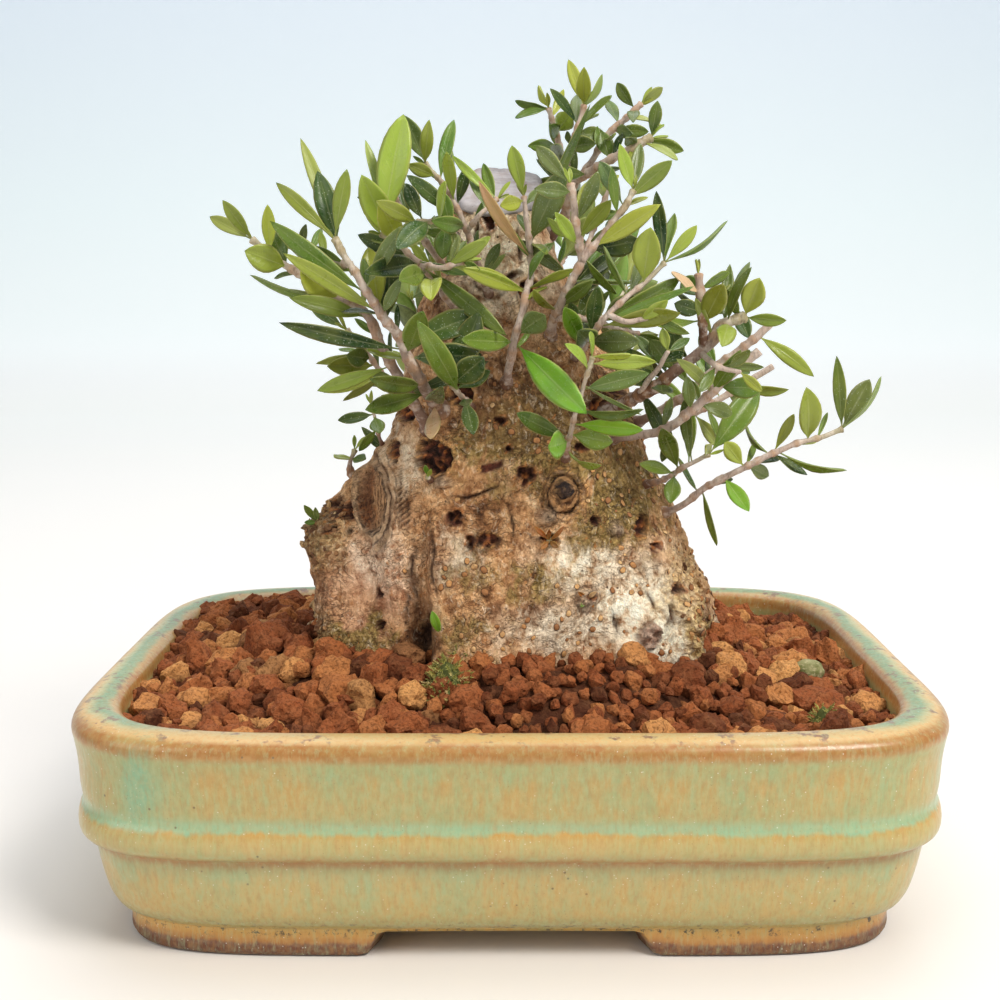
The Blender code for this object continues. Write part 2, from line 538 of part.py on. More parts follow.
def soil_height(x, y):
    far = math.hypot(x / 66.0, y / 50.0)
    back_left = math.exp(-((x + 55) ** 2 + (y - 40) ** 2) / 900.0)
    return SOIL_EDGE_HEIGHT + SOIL_MOUND * (1 - smoothstep(0.55, 1.0, far)) + 2.5 * back_left


def make_soil():
    """Clay granules: each is a peak in a field of peaks, with its foot between three neighbours."""
    draw = random.Random(SOIL_SEED)
    half_x, half_y = POT_WIDTH / 2 + 2, POT_DEPTH / 2 + 2
    row_pitch = GRANULE_PITCH * math.sqrt(3) / 2
    rows = int(2 * half_y / row_pitch) + 2
    columns = int(2 * half_x / GRANULE_PITCH) + 2
    verts = []
    peak = {}
    for r in range(rows):
        for c in range(columns):
            x = -half_x + (c + 0.5 * (r % 2)) * GRANULE_PITCH + draw.uniform(-1, 1)
            y = -half_y + r * row_pitch + draw.uniform(-1, 1)
            lift = GRANULE_RELIEF * draw.uniform(0.35, 1.0)
            peak[r, c] = len(verts)
            verts.append((x, y, soil_height(x, y) + lift - 1.0))
    faces = []

    def hollow(a, b, c):
        """Three faces that meet in the hollow between three granules."""
        points = [Vector(verts[k]) for k in (a, b, c)]
        middle = sum(points, Vector()) / 3
        verts.append((middle.x, middle.y, soil_height(middle.x, middle.y) - 1.0))
        low = len(verts) - 1
        faces.extend([(a, b, low), (b, c, low), (c, a, low)])

    for r in range(rows - 1):
        for c in range(columns - 1):
            here, right = peak[r, c], peak[r, c + 1]
            above, above_right = peak[r + 1, c], peak[r + 1, c + 1]
            if r % 2:
                hollow(here, right, above_right)
                hollow(here, above_right, above)
            else:
                hollow(here, right, above)
                hollow(right, above_right, above)
    shape = bmesh.new()
    points = [shape.verts.new((x * MM, y * MM, z * MM)) for x, y, z in verts]
    for face in faces:
        shape.faces.new([points[k] for k in face])
    rim = [edge for edge in shape.edges if edge.is_boundary]
    grown = bmesh.ops.extrude_edge_only(shape, edges=rim)
    lowered = [item for item in grown["geom"] if isinstance(item, bmesh.types.BMVert)]
    for vert in lowered:
        vert.co.z = (FLOOR_TOP - 1.0) * MM
    bottom = [item for item in grown["geom"] if isinstance(item, bmesh.types.BMEdge)]
    bmesh.ops.contextual_create(shape, geom=[edge for edge in bottom if edge.is_boundary])
    bmesh.ops.recalc_face_normals(shape, faces=shape.faces)
    mesh = bpy.data.meshes.new("soil")
    shape.to_mesh(mesh)
    shape.free()
    mesh.materials.append(material("clay_granules", (0.30, 0.12, 0.06), 0.9))
    soil = bpy.data.objects.new("soil", mesh)
    bpy.context.scene.collection.objects.link(soil)

    inner = [(height, inset) for height, inset in reversed(POT_SECTION) if inset > 7.0 and height > 8.0]
    rings = []
    for height, inset in inner:
        low_clear = GAP if height == FLOOR_TOP else 0.0
        rings.append(pot_outline(inset + GAP, height + low_clear))
    last = inner[-1]
    rings.append(pot_outline(last[1] + GAP, last[0] + 12))
    cut(soil, add_cutter("soil_space", *join_rings(rings)), "INTERSECT")
    pocket = [trunk_ring(height, POCKET_GAP) for height in trunk_heights()[:POCKET_RINGS]]
    pocket.insert(0, [(x, y, TRUNK_FOOT - GAP) for x, y, _ in pocket[0]])
    cut(soil, add_cutter("trunk_pocket", *join_rings(pocket)))
    for side in (-1, 1):
        reach = SCREEN_SIZE / 2 + GAP
        low = (side * DRAIN_HOLE_X - reach, -reach, FLOOR_TOP - 1)
        high = (side * DRAIN_HOLE_X + reach, reach, FLOOR_TOP + SCREEN_THICKNESS + 2 * GAP)
        name = "screen_space_left" if side < 0 else "screen_space_right"
        cut(soil, add_cutter(name, *box(low, high)))
    return soil


def smooth_route(points, per_span):
    """A smooth curve through the points of a route."""
    points = [Vector(p) for p in points]
    ends = [points[0] * 2 - points[1]] + points + [points[-1] * 2 - points[-2]]
    curve = []
    for a, b, c, d in zip(ends, ends[1:], ends[2:], ends[3:]):
        for k in range(per_span):
            t = k / per_span
            curve.append(0.5 * ((2 * b) + (c - a) * t + (2 * a - 5 * b + 4 * c - d) * t * t
                                + (3 * b - a - 3 * c + d) * t * t * t))
    curve.append(points[-1])
    return curve


def point_along(curve, share):
    """The point at a share of a curve's length, and the direction there."""
    lengths = [(b - a).length for a, b in zip(curve, curve[1:])]
    goal = share * sum(lengths)
    for (a, b), length in zip(zip(curve, curve[1:]), lengths):
        if goal <= length or b is curve[-1]:
            t = min(1.0, goal / length)
            return a.lerp(b, t), (b - a).normalized()
        goal -= length


def tube(curve, radii, sides=STEM_SIDES, first=None):
    """A round stem along a curve, with flat ends. Its first end may face a given direction."""
    side = None
    rings = []
    last = len(curve) - 1
    for i, point in enumerate(curve):
        along = (curve[min(i + 1, last)] - curve[max(i - 1, 0)]).normalized()
        if i == 0 and first:
            along = first
        side = Vector((1, 0, 0.1)) if side is None else side
        side = (side - along * side.dot(along)).normalized()
        other = along.cross(side)
        radius = radii[0] + (radii[1] - radii[0]) * i / last
        turns = [2 * math.pi * k / sides for k in range(sides)]
        rings.append([tuple(point + (side * math.cos(a) + other * math.sin(a)) * radius) for a in turns])
    return join_rings(rings)


def blade(base, tip, width, towards, roll, arch, grow=0.0):
    """A leaf: a thin pointed blade with a keel under its midrib, on a short stalk."""
    axis = (tip - base).normalized()
    length = (tip - base).length
    across = axis.cross(towards)
    if across.length < 0.2:
        across = axis.cross(Vector((0, 0, 1)))
    across.normalize()
    normal = across.cross(axis)
    across, normal = (across * math.cos(roll) + normal * math.sin(roll),
                      normal * math.cos(roll) - across * math.sin(roll))
    if length > LONG_LEAF:
        stations = [(0.0, 0.0), (0.24, 0.74), (0.52, 1.0), (0.8, 0.64)]
    else:
        stations = [(0.0, 0.0), (0.34, 0.95), (0.7, 0.82)]
    rings = []
    for t, share in stations:
        half = max(PETIOLE_WIDTH, width * share) / 2 + grow
        middle = base + axis * length * t + normal * arch * length * math.sin(math.pi * t)
        top = middle + normal * (LEAF_THICKNESS / 3 + grow)
        keel = middle - normal * (LEAF_THICKNESS * 2 / 3 + grow)
        rings.append([top + across * half, top - across * half, keel])
    verts = [tuple(point) for ring in rings for point in ring] + [tuple(tip)]
    last = len(verts) - 1
    faces = [(2, 1, 0)]
    for low in range(0, last - 3, 3):
        for i in range(3):
            a, b = low + i, low + (i + 1) % 3
            faces.extend([(a, b, b + 3), (a, b + 3, a + 3)])
    for i in range(3):
        faces.append((last - 3 + i, last - 3 + (i + 1) % 3, last))
    return verts, faces


def tree_of(verts, faces):
    return BVHTree.FromPolygons([tuple(v) for v in verts], [tuple(f) for f in faces])


def leave_trunk(curve, trunk_tree, reach):
    """Where a stem's curve comes out of the bark, and the curve from the end of its collar on."""
    fine = [point_along(curve, k / 80)[0] for k in range(81)]
    last_inside = 0
    for k, point in enumerate(fine):
        near, normal, _, distance = trunk_tree.find_nearest(point)
        if (point - near).dot(normal) < 0:
            last_inside = k
    surface = fine[last_inside]
    along = (fine[min(last_inside + 4, 80)] - fine[last_inside]).normalized()
    start = surface + along * (reach + GAP)
    onward = [p for p in curve if (p - start).dot(along) > 1.5]
    return surface, along, [start] + onward


def back_leaves(curve, draw):
    """Opposite pairs of leaves, each pair turned from the one before, for the shoots at the back."""
    rows = []
    turn = draw.uniform(0, math.pi)
    for pair in range(BACK_PAIRS):
        share = 0.3 + 0.7 * pair / (BACK_PAIRS - 1)
        base, along = point_along(curve, share)
        side = along.cross(Vector((0, 0, 1))).normalized()
        other = along.cross(side)
        for half in (0, 1):
            angle = turn + half * math.pi + draw.uniform(-0.25, 0.25)
            out = side * math.cos(angle) + other * math.sin(angle)
            lean = draw.uniform(0.8, 1.15) if pair < BACK_PAIRS - 1 else 0.45
            aim = along * math.cos(lean) + out * math.sin(lean) + Vector((0, 0, 0.15))
            tip = base + aim.normalized() * draw.uniform(*BACK_LEAF_LENGTH)
            rows.append((share, tip.x, tip.y, tip.z, draw.uniform(*BACK_LEAF_WIDTH)))
        turn += math.pi / 2 + draw.uniform(-0.3, 0.3)
    return rows


def keep_largest(mesh):
    """Drop the scraps and sealed pockets that a union leaves beside its main body."""
    shape = bmesh.new()
    shape.from_mesh(mesh)
    left = set(shape.verts)
    bodies = []
    while left:
        body = set()
        edge_of_growth = [left.pop()]
        while edge_of_growth:
            vert = edge_of_growth.pop()
            body.add(vert)
            for edge in vert.link_edges:
                other = edge.other_vert(vert)
                if other in left:
                    left.discard(other)
                    edge_of_growth.append(other)
        bodies.append(body)
    bodies.sort(key=len)
    for body in bodies[:-1]:
        bmesh.ops.delete(shape, geom=list(body), context="VERTS")
    shape.to_mesh(mesh)
    shape.free()


def overlaps(tree, others):
    return any(tree.overlap(other) for other in others)


def fuse(name, pieces, finish):
    """One solid of several closed pieces that run into each other."""
    body = add_object(name, *pieces[0], finish)
    if len(pieces) > 1:
        group = bpy.data.collections.new(name + "_pieces")
        bpy.context.scene.collection.children.link(group)
        for number, piece in enumerate(pieces[1:]):
            item = add_object(f"{name}_{number}", *piece)
            bpy.context.scene.collection.objects.unlink(item)
            group.objects.link(item)
        union = body.modifiers.new("fuse", "BOOLEAN")
        union.operation = "UNION"
        union.operand_type = "COLLECTION"
        union.collection = group
        union.solver = "EXACT"
        depsgraph = bpy.context.evaluated_depsgraph_get()
        fused = bpy.data.meshes.new_from_object(body.evaluated_get(depsgraph))
        body.modifiers.remove(union)
        keep_largest(fused)
        body.data = fused
        for item in list(group.objects):
            bpy.data.objects.remove(item, do_unlink=True)
        bpy.data.collections.remove(group)
    return body


def make_tree():
    """The trunk with a collar for each shoot, and the leafy shoots, which clear each other."""
    body_verts, body_faces = make_trunk_body()
    trunk_tree = tree_of(body_verts, body_faces)
    collars = []
    shoots = {}
    for name, stems in SHOOTS.items():
        parts = []
        for number, each in enumerate(stems):
            curve = smooth_route(each["route"], 1 if len(each["route"]) > 4 else 2)
            radius = each["radii"][0]
            sides = STEM_SIDES if radius > THIN_STEM else STEM_SIDES - 1
            if number:
                parts.append((curve, tube(curve, each["radii"], sides)))
                continue
            for reach in COLLAR_REACHES:
                surface, along, free = leave_trunk(curve, trunk_tree, reach)
                wide = tube(free, [r + GAP for r in each["radii"]], sides, along)
                if not tree_of(*wide).overlap(trunk_tree):
                    break
            collars.append(tube([surface - along * COLLAR_IN, surface + along * reach],
                                (radius * 1.5, radius * 1.15), sides))
            parts.append((free, tube(free, each["radii"], sides, along)))
        shoots[name] = parts
    bark = material("bark", (0.34, 0.22, 0.13), 0.85)
    fuse("trunk", [(body_verts, body_faces)] + collars, bark)

    solid_trees = [trunk_tree] + [tree_of(*collar) for collar in collars]
    stem_trees = {name: [tree_of(*part[1]) for part in parts] for name, parts in shoots.items()}
    leaf_trees = {name: [] for name in shoots}
    green = material("leaf_green", (0.16, 0.24, 0.06), 0.45)
    draw = random.Random(BACK_SEED)
    for name, parts in shoots.items():
        pieces = [part[1] for part in parts]
        for number, (curve, _) in enumerate(parts):
            rows = SHOOTS[name][number]["leaves"]
            towards = Vector((0, -1, 0))
            if not rows and name.startswith("shoot_back"):
                rows = back_leaves(curve, draw)
                towards = Vector((0, 0.8, 0.6))
            for share, x, y, z, seen_width in rows:
                width = max(seen_width, FLAT_ON_WIDTH)
                side = draw.choice((-1, 1))
                roll = side * math.acos(seen_width / width) + draw.uniform(-0.3, 0.3)
                arch = draw.uniform(-0.06, 0.1)
                base, _ = point_along(curve, share)
                for depth, short in LEAF_TRIES:
                    tip = base + (Vector((x, y + depth, z)) - base) * short
                    if (tip - base).length < SHORTEST_LEAF:
                        continue
                    outer = base + (tip - base) * 0.2
                    wide = tree_of(*blade(base, tip, width, towards, roll, arch, GAP))
                    others = solid_trees + [t for n in shoots if n != name
                                            for t in stem_trees[n] + leaf_trees[n]]
                    if overlaps(wide, others):
                        continue
                    free = tree_of(*blade(outer, tip, width, towards, roll, arch))
                    if overlaps(free, leaf_trees[name]):
                        continue
                    pieces.append(blade(base, tip, width, towards, roll, arch))
                    leaf_trees[name].append(tree_of(*pieces[-1]))
                    break
        fuse(name, pieces, green)


def main():
    clear_scene()
    make_pot()
    make_screen("drain_screen_left", -1)
    make_screen("drain_screen_right", 1)
    make_soil()
    make_tree()
    make_wound_seal()


main()
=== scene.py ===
import math
import random

import bmesh
import bpy
import numpy as np
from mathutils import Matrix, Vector, noise
from mathutils.bvhtree import BVHTree
from mathutils.kdtree import KDTree


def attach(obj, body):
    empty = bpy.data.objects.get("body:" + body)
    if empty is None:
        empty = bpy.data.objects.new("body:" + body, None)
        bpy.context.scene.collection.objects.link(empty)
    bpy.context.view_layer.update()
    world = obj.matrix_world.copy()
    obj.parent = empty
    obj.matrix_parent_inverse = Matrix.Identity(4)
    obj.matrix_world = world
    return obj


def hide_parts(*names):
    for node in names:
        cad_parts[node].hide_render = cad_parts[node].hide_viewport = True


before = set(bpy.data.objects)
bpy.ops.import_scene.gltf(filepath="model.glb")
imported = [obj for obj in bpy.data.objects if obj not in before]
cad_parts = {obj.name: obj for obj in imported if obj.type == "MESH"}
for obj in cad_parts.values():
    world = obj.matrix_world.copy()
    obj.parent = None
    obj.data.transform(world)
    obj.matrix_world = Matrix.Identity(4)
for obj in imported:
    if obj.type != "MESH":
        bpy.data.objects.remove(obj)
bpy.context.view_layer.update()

# Sizes are in millimetres unless a line says otherwise; the front of the pot faces -Y.
# Pot. One fired piece: a shallow rectangular bowl with rounded corners, a rolled rim, a belt round
# the wall and four corner feet. Turquoise glaze breaks to ochre over its edges; the bottoms of the
# feet are bare dark clay. Built as one sweep of its section round a rounded outline.
MM = 0.001
POT_WIDTH = 155.0
POT_DEPTH = 120.0
POT_POINTS = 256
FOOT_HEIGHT = 5.0
FOOT_LIP = 0.3
FOOT_END_X = (22.0, 25.0)
FOOT_END_Y = (15.0, 18.0)
# Under the foot: how far down it reaches, and how far in from the outline.
FOOT_SECTION = [
    (0.5, 15.3), (0.92, 15.2), (1.0, 14.8), (1.0, 12.0), (1.0, 9.6), (0.94, 9.05), (0.8, 8.75), (0.5, 8.8),
    (0.2, 8.9),
]
FLOOR_HEIGHT = 10.5
DRAIN_RADIUS = 5.5
DRAIN_X = 38.0
# The wall from the foot up, over the rim and down inside: height, and how far in from the outline.
POT_WALL = [
    (5.0, 8.9), (6.0, 7.6), (7.0, 6.6), (9.2, 5.6), (12.0, 4.9), (15.5, 4.3), (18.4, 3.9), (19.2, 3.5),
    (20.0, 2.3), (21.2, 1.6), (22.8, 1.4), (24.4, 1.6), (25.8, 2.0), (28.5, 1.5), (33.0, 0.9),
    (36.5, 0.25), (38.0, 0.0), (39.2, 0.3), (40.1, 1.2), (40.6, 2.6), (40.75, 4.2), (40.5, 5.8),
    (39.8, 6.9), (38.6, 7.5), (34.0, 7.9), (15.0, 8.8), (12.0, 9.8), (10.5, 12.0),
]


def smoothstep(low, high, value):
    t = min(1.0, max(0.0, (value - low) / (high - low)))
    return t * t * (3.0 - 2.0 * t)


def wall_corner_power(height):
    """How square the pot's rounded outline is: squarer low down than at the rim."""
    return 7.0 - 1.4 * smoothstep(16.0, 38.0, height)


def smooth_rows(rows, per_span):
    """Rows of numbers run through a smooth curve, with extra rows between them."""
    rows = [np.array(row, float) for row in rows]
    ends = [rows[0] * 2 - rows[1]] + rows + [rows[-1] * 2 - rows[-2]]
    curve = []
    for a, b, c, d in zip(ends, ends[1:], ends[2:], ends[3:]):
        for k in range(per_span):
            t = k / per_span
            curve.append(0.5 * (2 * b + (c - a) * t + (2 * a - 5 * b + 4 * c - d) * t * t
                                + (3 * b - a - 3 * c + d) * t * t * t))
    curve.append(rows[-1])
    return curve


def pot_turns():
    """Directions of the outline's points, spread evenly along its length."""
    fine = []
    power = wall_corner_power(30.0)
    for i in range(4000):
        angle = 2 * math.pi * i / 4000
        c, s = math.cos(angle), math.sin(angle)
        scale = (abs(c) ** power + abs(s) ** power) ** (-1 / power)
        fine.append((angle, POT_WIDTH / 2 * c * scale, POT_DEPTH / 2 * s * scale))
    run = [0.0]
    for (_, x0, y0), (_, x1, y1) in zip(fine, fine[1:] + fine[:1]):
        run.append(run[-1] + math.hypot(x1 - x0, y1 - y0))
    goals = [run[-1] * k / POT_POINTS for k in range(POT_POINTS)]
    return np.interp(goals, run[:-1], [angle for angle, _, _ in fine])


POT_TURNS = pot_turns()


def pot_ring(height, inset):
    power = wall_corner_power(height)
    c, s = np.cos(POT_TURNS), np.sin(POT_TURNS)
    scale = (np.abs(c) ** power + np.abs(s) ** power) ** (-1 / power)
    ring = np.zeros((POT_POINTS, 3))
    ring[:, 0] = (POT_WIDTH / 2 - inset) * c * scale
    ring[:, 1] = (POT_DEPTH / 2 - inset) * s * scale
    ring[:, 2] = height
    return ring


def ring_faces(rings, count, close_ends=True):
    faces = []
    for low in range(rings - 1):
        for i in range(count):
            j = (i + 1) % count
            faces.append((low * count + i, low * count + j, (low + 1) * count + j, (low + 1) * count + i))
    if close_ends:
        faces.append(tuple(reversed(range(count))))
        faces.append(tuple(range((rings - 1) * count, rings * count)))
    return faces


def new_piece(name, verts, faces, finish, smooth=True):
    """A mesh object at the origin from points in millimetres."""
    mesh = bpy.data.meshes.new(name)
    mesh.from_pydata([(float(x) * MM, float(y) * MM, float(z) * MM) for x, y, z in verts], [], faces)
    mesh.materials.append(finish)
    mesh.polygons.foreach_set("use_smooth", [smooth] * len(mesh.polygons))
    mesh.update()
    piece = bpy.data.objects.new(name, mesh)
    bpy.context.scene.collection.objects.link(piece)
    return piece


def add_numbers(piece, name, values, kind="FLOAT"):
    """Numbers or colours kept on the points of a mesh, which its material reads by name."""
    layer = piece.data.attributes.new(name, kind, "POINT")
    key = "color" if kind == "FLOAT_COLOR" else "value"
    layer.data.foreach_set(key, np.asarray(values, np.float32).ravel())


class Finish:
    """A material under construction: short ways to add and join its nodes."""

    def __init__(self, name, roughness=0.5):
        self.material = bpy.data.materials.new(name)
        self.material.use_nodes = True
        self.nodes = self.material.node_tree.nodes
        self.links = self.material.node_tree.links
        self.shader = self.nodes["Principled BSDF"]
        self.shader.inputs["Roughness"].default_value = roughness
        self.place = self.nodes.new("ShaderNodeTexCoord").outputs["Object"]

    def join(self, source, socket):
        if isinstance(source, bpy.types.NodeSocket):
            self.links.new(source, socket)
        elif isinstance(source, (tuple, list)) and socket.type == "RGBA":
            socket.default_value = (*source[:3], 1.0)
        else:
            socket.default_value = source

    def node(self, kind, out=0, settings=None, **inputs):
        made = self.nodes.new(kind)
        for key, value in (settings or {}).items():
            setattr(made, key, value)
        for key, value in inputs.items():
            name = key.replace("_", " ")
            self.join(value, made.inputs[int(name[1:])] if name[0] == "i" and name[1:].isdigit()
                      else made.inputs[name])
        return made.outputs[out]

    def stretch(self, factors, place=None):
        return self.node("ShaderNodeMapping", Vector=place or self.place, Scale=factors)

    def grain(self, per_metre, detail=4.0, rough=0.55, place=None, distort=0.0):
        return self.node("ShaderNodeTexNoise", Vector=place or self.place, Scale=per_metre,
                         Detail=detail, Roughness=rough, Distortion=distort)

    def streaks(self, factors, detail, rough, distort=0.0):
        """Grain with its own scale along each axis."""
        return self.grain(1.0, detail, rough, self.stretch(factors), distort)

    def axis(self, number):
        return self.node("ShaderNodeSeparateXYZ", out=number, Vector=self.place)

    def cells(self, per_metre, feature="F1", place=None, random_share=1.0):
        return self.node("ShaderNodeTexVoronoi", settings={"feature": feature},
                         Vector=place or self.place, Scale=per_metre, Randomness=random_share)

    def level(self, value, low, high, out_low=0.0, out_high=1.0):
        return self.node("ShaderNodeMapRange", Value=value, From_Min=low, From_Max=high,
                         To_Min=out_low, To_Max=out_high)

    def maths(self, what, a, b=0.0):
        return self.node("ShaderNodeMath", settings={"operation": what}, i0=a, i1=b)

    def times(self, a, b):
        return self.maths("MULTIPLY", a, b)

    def plus(self, a, b):
        return self.maths("ADD", a, b)

    def minus(self, a, b):
        return self.maths("SUBTRACT", a, b)

    def mix(self, share, a, b, how="MIX"):
        made = self.nodes.new("ShaderNodeMix")
        made.data_type = "RGBA"
        made.blend_type = how
        self.join(share, made.inputs[0])
        self.join(a, made.inputs[6])
        self.join(b, made.inputs[7])
        return made.outputs[2]

    def ramp(self, value, stops, how="LINEAR"):
        made = self.nodes.new("ShaderNodeValToRGB")
        made.color_ramp.interpolation = how
        steps = made.color_ramp.elements
        steps[0].position, steps[1].position = stops[0][0], stops[-1][0]
        for position, _ in stops[1:-1]:
            steps.new(position)
        for step, (_, colour) in zip(steps, stops):
            step.color = (*colour, 1.0)
        self.join(value, made.inputs[0])
        return made.outputs[0]

    def read(self, name, out=2):
        return self.node("ShaderNodeAttribute", out=out, settings={"attribute_name": name})

    def relief(self, height, strength, depth_mm, under=None):
        """Raises the surface's shading by a height, and gives the normal."""
        made = self.nodes.new("ShaderNodeBump")
        made.inputs["Strength"].default_value = strength
        made.inputs["Distance"].default_value = depth_mm * MM
        self.join(height, made.inputs["Height"])
        if under:
            self.join(under, made.inputs["Normal"])
        return made.outputs[0]

    def finish(self, **inputs):
        for key, value in inputs.items():
            self.join(value, self.shader.inputs[key.replace("_", " ")])
        return self.material


def glaze():
    """Turquoise glaze that runs off the edges to ochre, streaked downwards, with painted glints."""
    f = Finish("breaking_glaze", 0.24)
    height = f.axis(2)
    streaks = f.streaks((620, 620, 70), 4.0, 0.62)
    clouds = f.streaks((75, 75, 55), 5.0, 0.62, 0.3)
    fine = f.grain(900, 3.0, 0.6)
    waver = f.plus(f.level(clouds, 0.3, 0.7, -0.0005, 0.0005),
                   f.level(streaks, 0.3, 0.7, -0.0003, 0.0003))
    level = f.level(f.plus(height, waver), 0.0, 0.042)
    thin = f.ramp(level, [
        (0.0, (0.105, 0.04, 0.027)), (0.054, (0.15, 0.058, 0.036)), (0.066, (0.38, 0.155, 0.035)),
        (0.088, (0.62, 0.32, 0.075)), (0.112, (0.64, 0.37, 0.09)), (0.132, (0.43, 0.31, 0.095)),
        (0.16, (0.34, 0.29, 0.1)), (0.21, (0.52, 0.35, 0.115)), (0.36, (0.53, 0.345, 0.115)),
        (0.42, (0.44, 0.36, 0.155)), (0.446, (0.38, 0.16, 0.05)), (0.464, (0.38, 0.175, 0.055)),
        (0.49, (0.5, 0.35, 0.135)), (0.552, (0.51, 0.35, 0.115)), (0.58, (0.54, 0.295, 0.07)),
        (0.596, (0.33, 0.4, 0.22)), (0.618, (0.34, 0.4, 0.21)), (0.65, (0.47, 0.33, 0.11)),
        (0.8, (0.49, 0.295, 0.08)), (0.87, (0.4, 0.33, 0.125)), (0.897, (0.43, 0.19, 0.045)),
        (0.915, (0.33, 0.12, 0.022)), (0.945, (0.36, 0.135, 0.028)), (0.966, (0.56, 0.29, 0.08)),
        (1.0, (0.64, 0.39, 0.14)),
    ])
    thick = f.ramp(level, [
        (0.0, (0.105, 0.04, 0.027)), (0.054, (0.17, 0.068, 0.04)), (0.068, (0.43, 0.19, 0.045)),
        (0.11, (0.56, 0.34, 0.09)), (0.145, (0.32, 0.3, 0.11)), (0.2, (0.37, 0.37, 0.16)),
        (0.4, (0.3, 0.41, 0.215)), (0.45, (0.33, 0.23, 0.085)), (0.49, (0.35, 0.385, 0.17)),
        (0.578, (0.39, 0.35, 0.13)), (0.594, (0.245, 0.44, 0.27)), (0.624, (0.265, 0.44, 0.255)),
        (0.668, (0.31, 0.36, 0.16)), (0.82, (0.26, 0.39, 0.195)), (0.885, (0.3, 0.37, 0.165)),
        (0.905, (0.31, 0.185, 0.048)), (0.95, (0.39, 0.25, 0.08)), (1.0, (0.43, 0.37, 0.155)),
    ])
    pooled = f.plus(f.level(clouds, 0.32, 0.7), f.level(streaks, 0.3, 0.75, -0.42, 0.42))
    colour = f.mix(f.level(pooled, 0.05, 0.95, 0.1, 0.85), thin, thick)
    # The rim: turquoise on its crown, cream along both edges, with purple-brown streaks across it. The cream
    # of the outer edge and the paler front of the crown are partly painted highlight.
    inset = f.read("inset")
    crown = f.ramp(f.level(f.plus(inset, f.level(clouds, 0.3, 0.7, -1.0, 1.0)), 0.0, 9.0), [
        (0.0, (0.407, 0.227, 0.068)), (0.2, (0.64, 0.4, 0.15)), (0.33, (0.45, 0.42, 0.2)),
        (0.46, (0.177, 0.303, 0.16)), (0.6, (0.216, 0.303, 0.156)), (0.72, (0.485, 0.298, 0.114)),
        (0.84, (0.407, 0.227, 0.076)), (1.0, (0.197, 0.184, 0.084)),
    ])
    behind = f.axis(1)
    # Painted highlight, in part: along the front, where the light falls, the crown turns pale cream.
    crown = f.mix(f.level(behind, -0.05, -0.054, 0.0, 0.8), crown, (0.64, 0.41, 0.16))
    on_rim = f.level(height, 0.0399, 0.0404)
    burnt = f.level(f.times(f.level(f.grain(260, 3.0, 0.6), 0.5, 0.66),
                            f.level(f.grain(700, 2.0), 0.42, 0.6)), 0.15, 0.6, 0.0, 0.85)
    crown = f.mix(burnt, crown, (0.17, 0.075, 0.06))
    colour = f.mix(on_rim, colour, crown)
    # The drip near the left front corner, and black specks above the feet.
    drip_at = f.node("ShaderNodeMapping", settings={"vector_type": "POINT"}, Vector=f.place,
                     Location=(0.0605 * 160, 0.0, -0.0315 * 95), Scale=(160, 0, 95))
    drip = f.node("ShaderNodeVectorMath", out=1, settings={"operation": "LENGTH"}, i0=drip_at)
    front = f.level(behind, -0.035, -0.045)
    drip = f.times(f.level(f.plus(drip, f.level(streaks, 0.3, 0.7, -0.3, 0.3)), 0.8, 0.25), front)
    colour = f.mix(f.times(drip, 0.8), colour, (0.2, 0.4, 0.24))
    near_foot = f.times(f.level(height, 0.003, 0.0044), f.level(height, 0.008, 0.0058))
    specks = f.times(near_foot, f.level(f.grain(620, 4.0, 0.75), 0.56, 0.62))
    colour = f.mix(specks, colour, (0.05, 0.045, 0.03))
    scattered = f.level(f.cells(330), 0.09, 0.05)
    few = f.level(f.grain(60, 1.0), 0.52, 0.6)
    colour = f.mix(f.times(f.times(scattered, few), 0.75), colour, (0.09, 0.06, 0.04))
    # Painted glints: tiny near-white specks in the glaze's colour, standing for light caught on its surface.
    painted_glints = f.times(f.level(f.cells(1000), 0.13, 0.07), f.level(f.grain(130, 1.0), 0.47, 0.58))
    colour = f.mix(f.times(painted_glints, 0.6), colour, (0.86, 0.88, 0.8))
    rain = f.streaks((1500, 1500, 360), 4.0, 0.65)
    colour = f.mix(f.level(rain, 0.5, 0.68, 0.0, 0.65), colour, f.mix(0.55, colour, (0.4, 0.2, 0.06)))
    colour = f.mix(f.level(rain, 0.5, 0.34, 0.0, 0.6), colour, f.mix(0.5, colour, (0.38, 0.5, 0.28)))
    colour = f.mix(f.level(fine, 0.4, 0.66, 0.0, 0.3), colour, f.mix(0.6, colour, (0.6, 0.44, 0.2)))
    pinholes = f.times(f.level(f.cells(1500), 0.14, 0.07), f.level(f.grain(300, 2.0), 0.5, 0.58))
    colour = f.mix(f.times(pinholes, 0.5), colour, (0.16, 0.1, 0.05))
    bare = f.level(height, 0.0024, 0.0017)
    rough = f.plus(f.times(bare, 0.55), f.level(rain, 0.3, 0.7, 0.27, 0.42))
    bumps = f.relief(f.plus(f.grain(240, 3.0), f.times(fine, 0.35)), 0.22, 0.35)
    f.shader.inputs["Coat Weight"].default_value = 0.12
    f.shader.inputs["Coat Roughness"].default_value = 0.2
    return f.finish(Base_Color=colour, Roughness=rough, Normal=bumps)


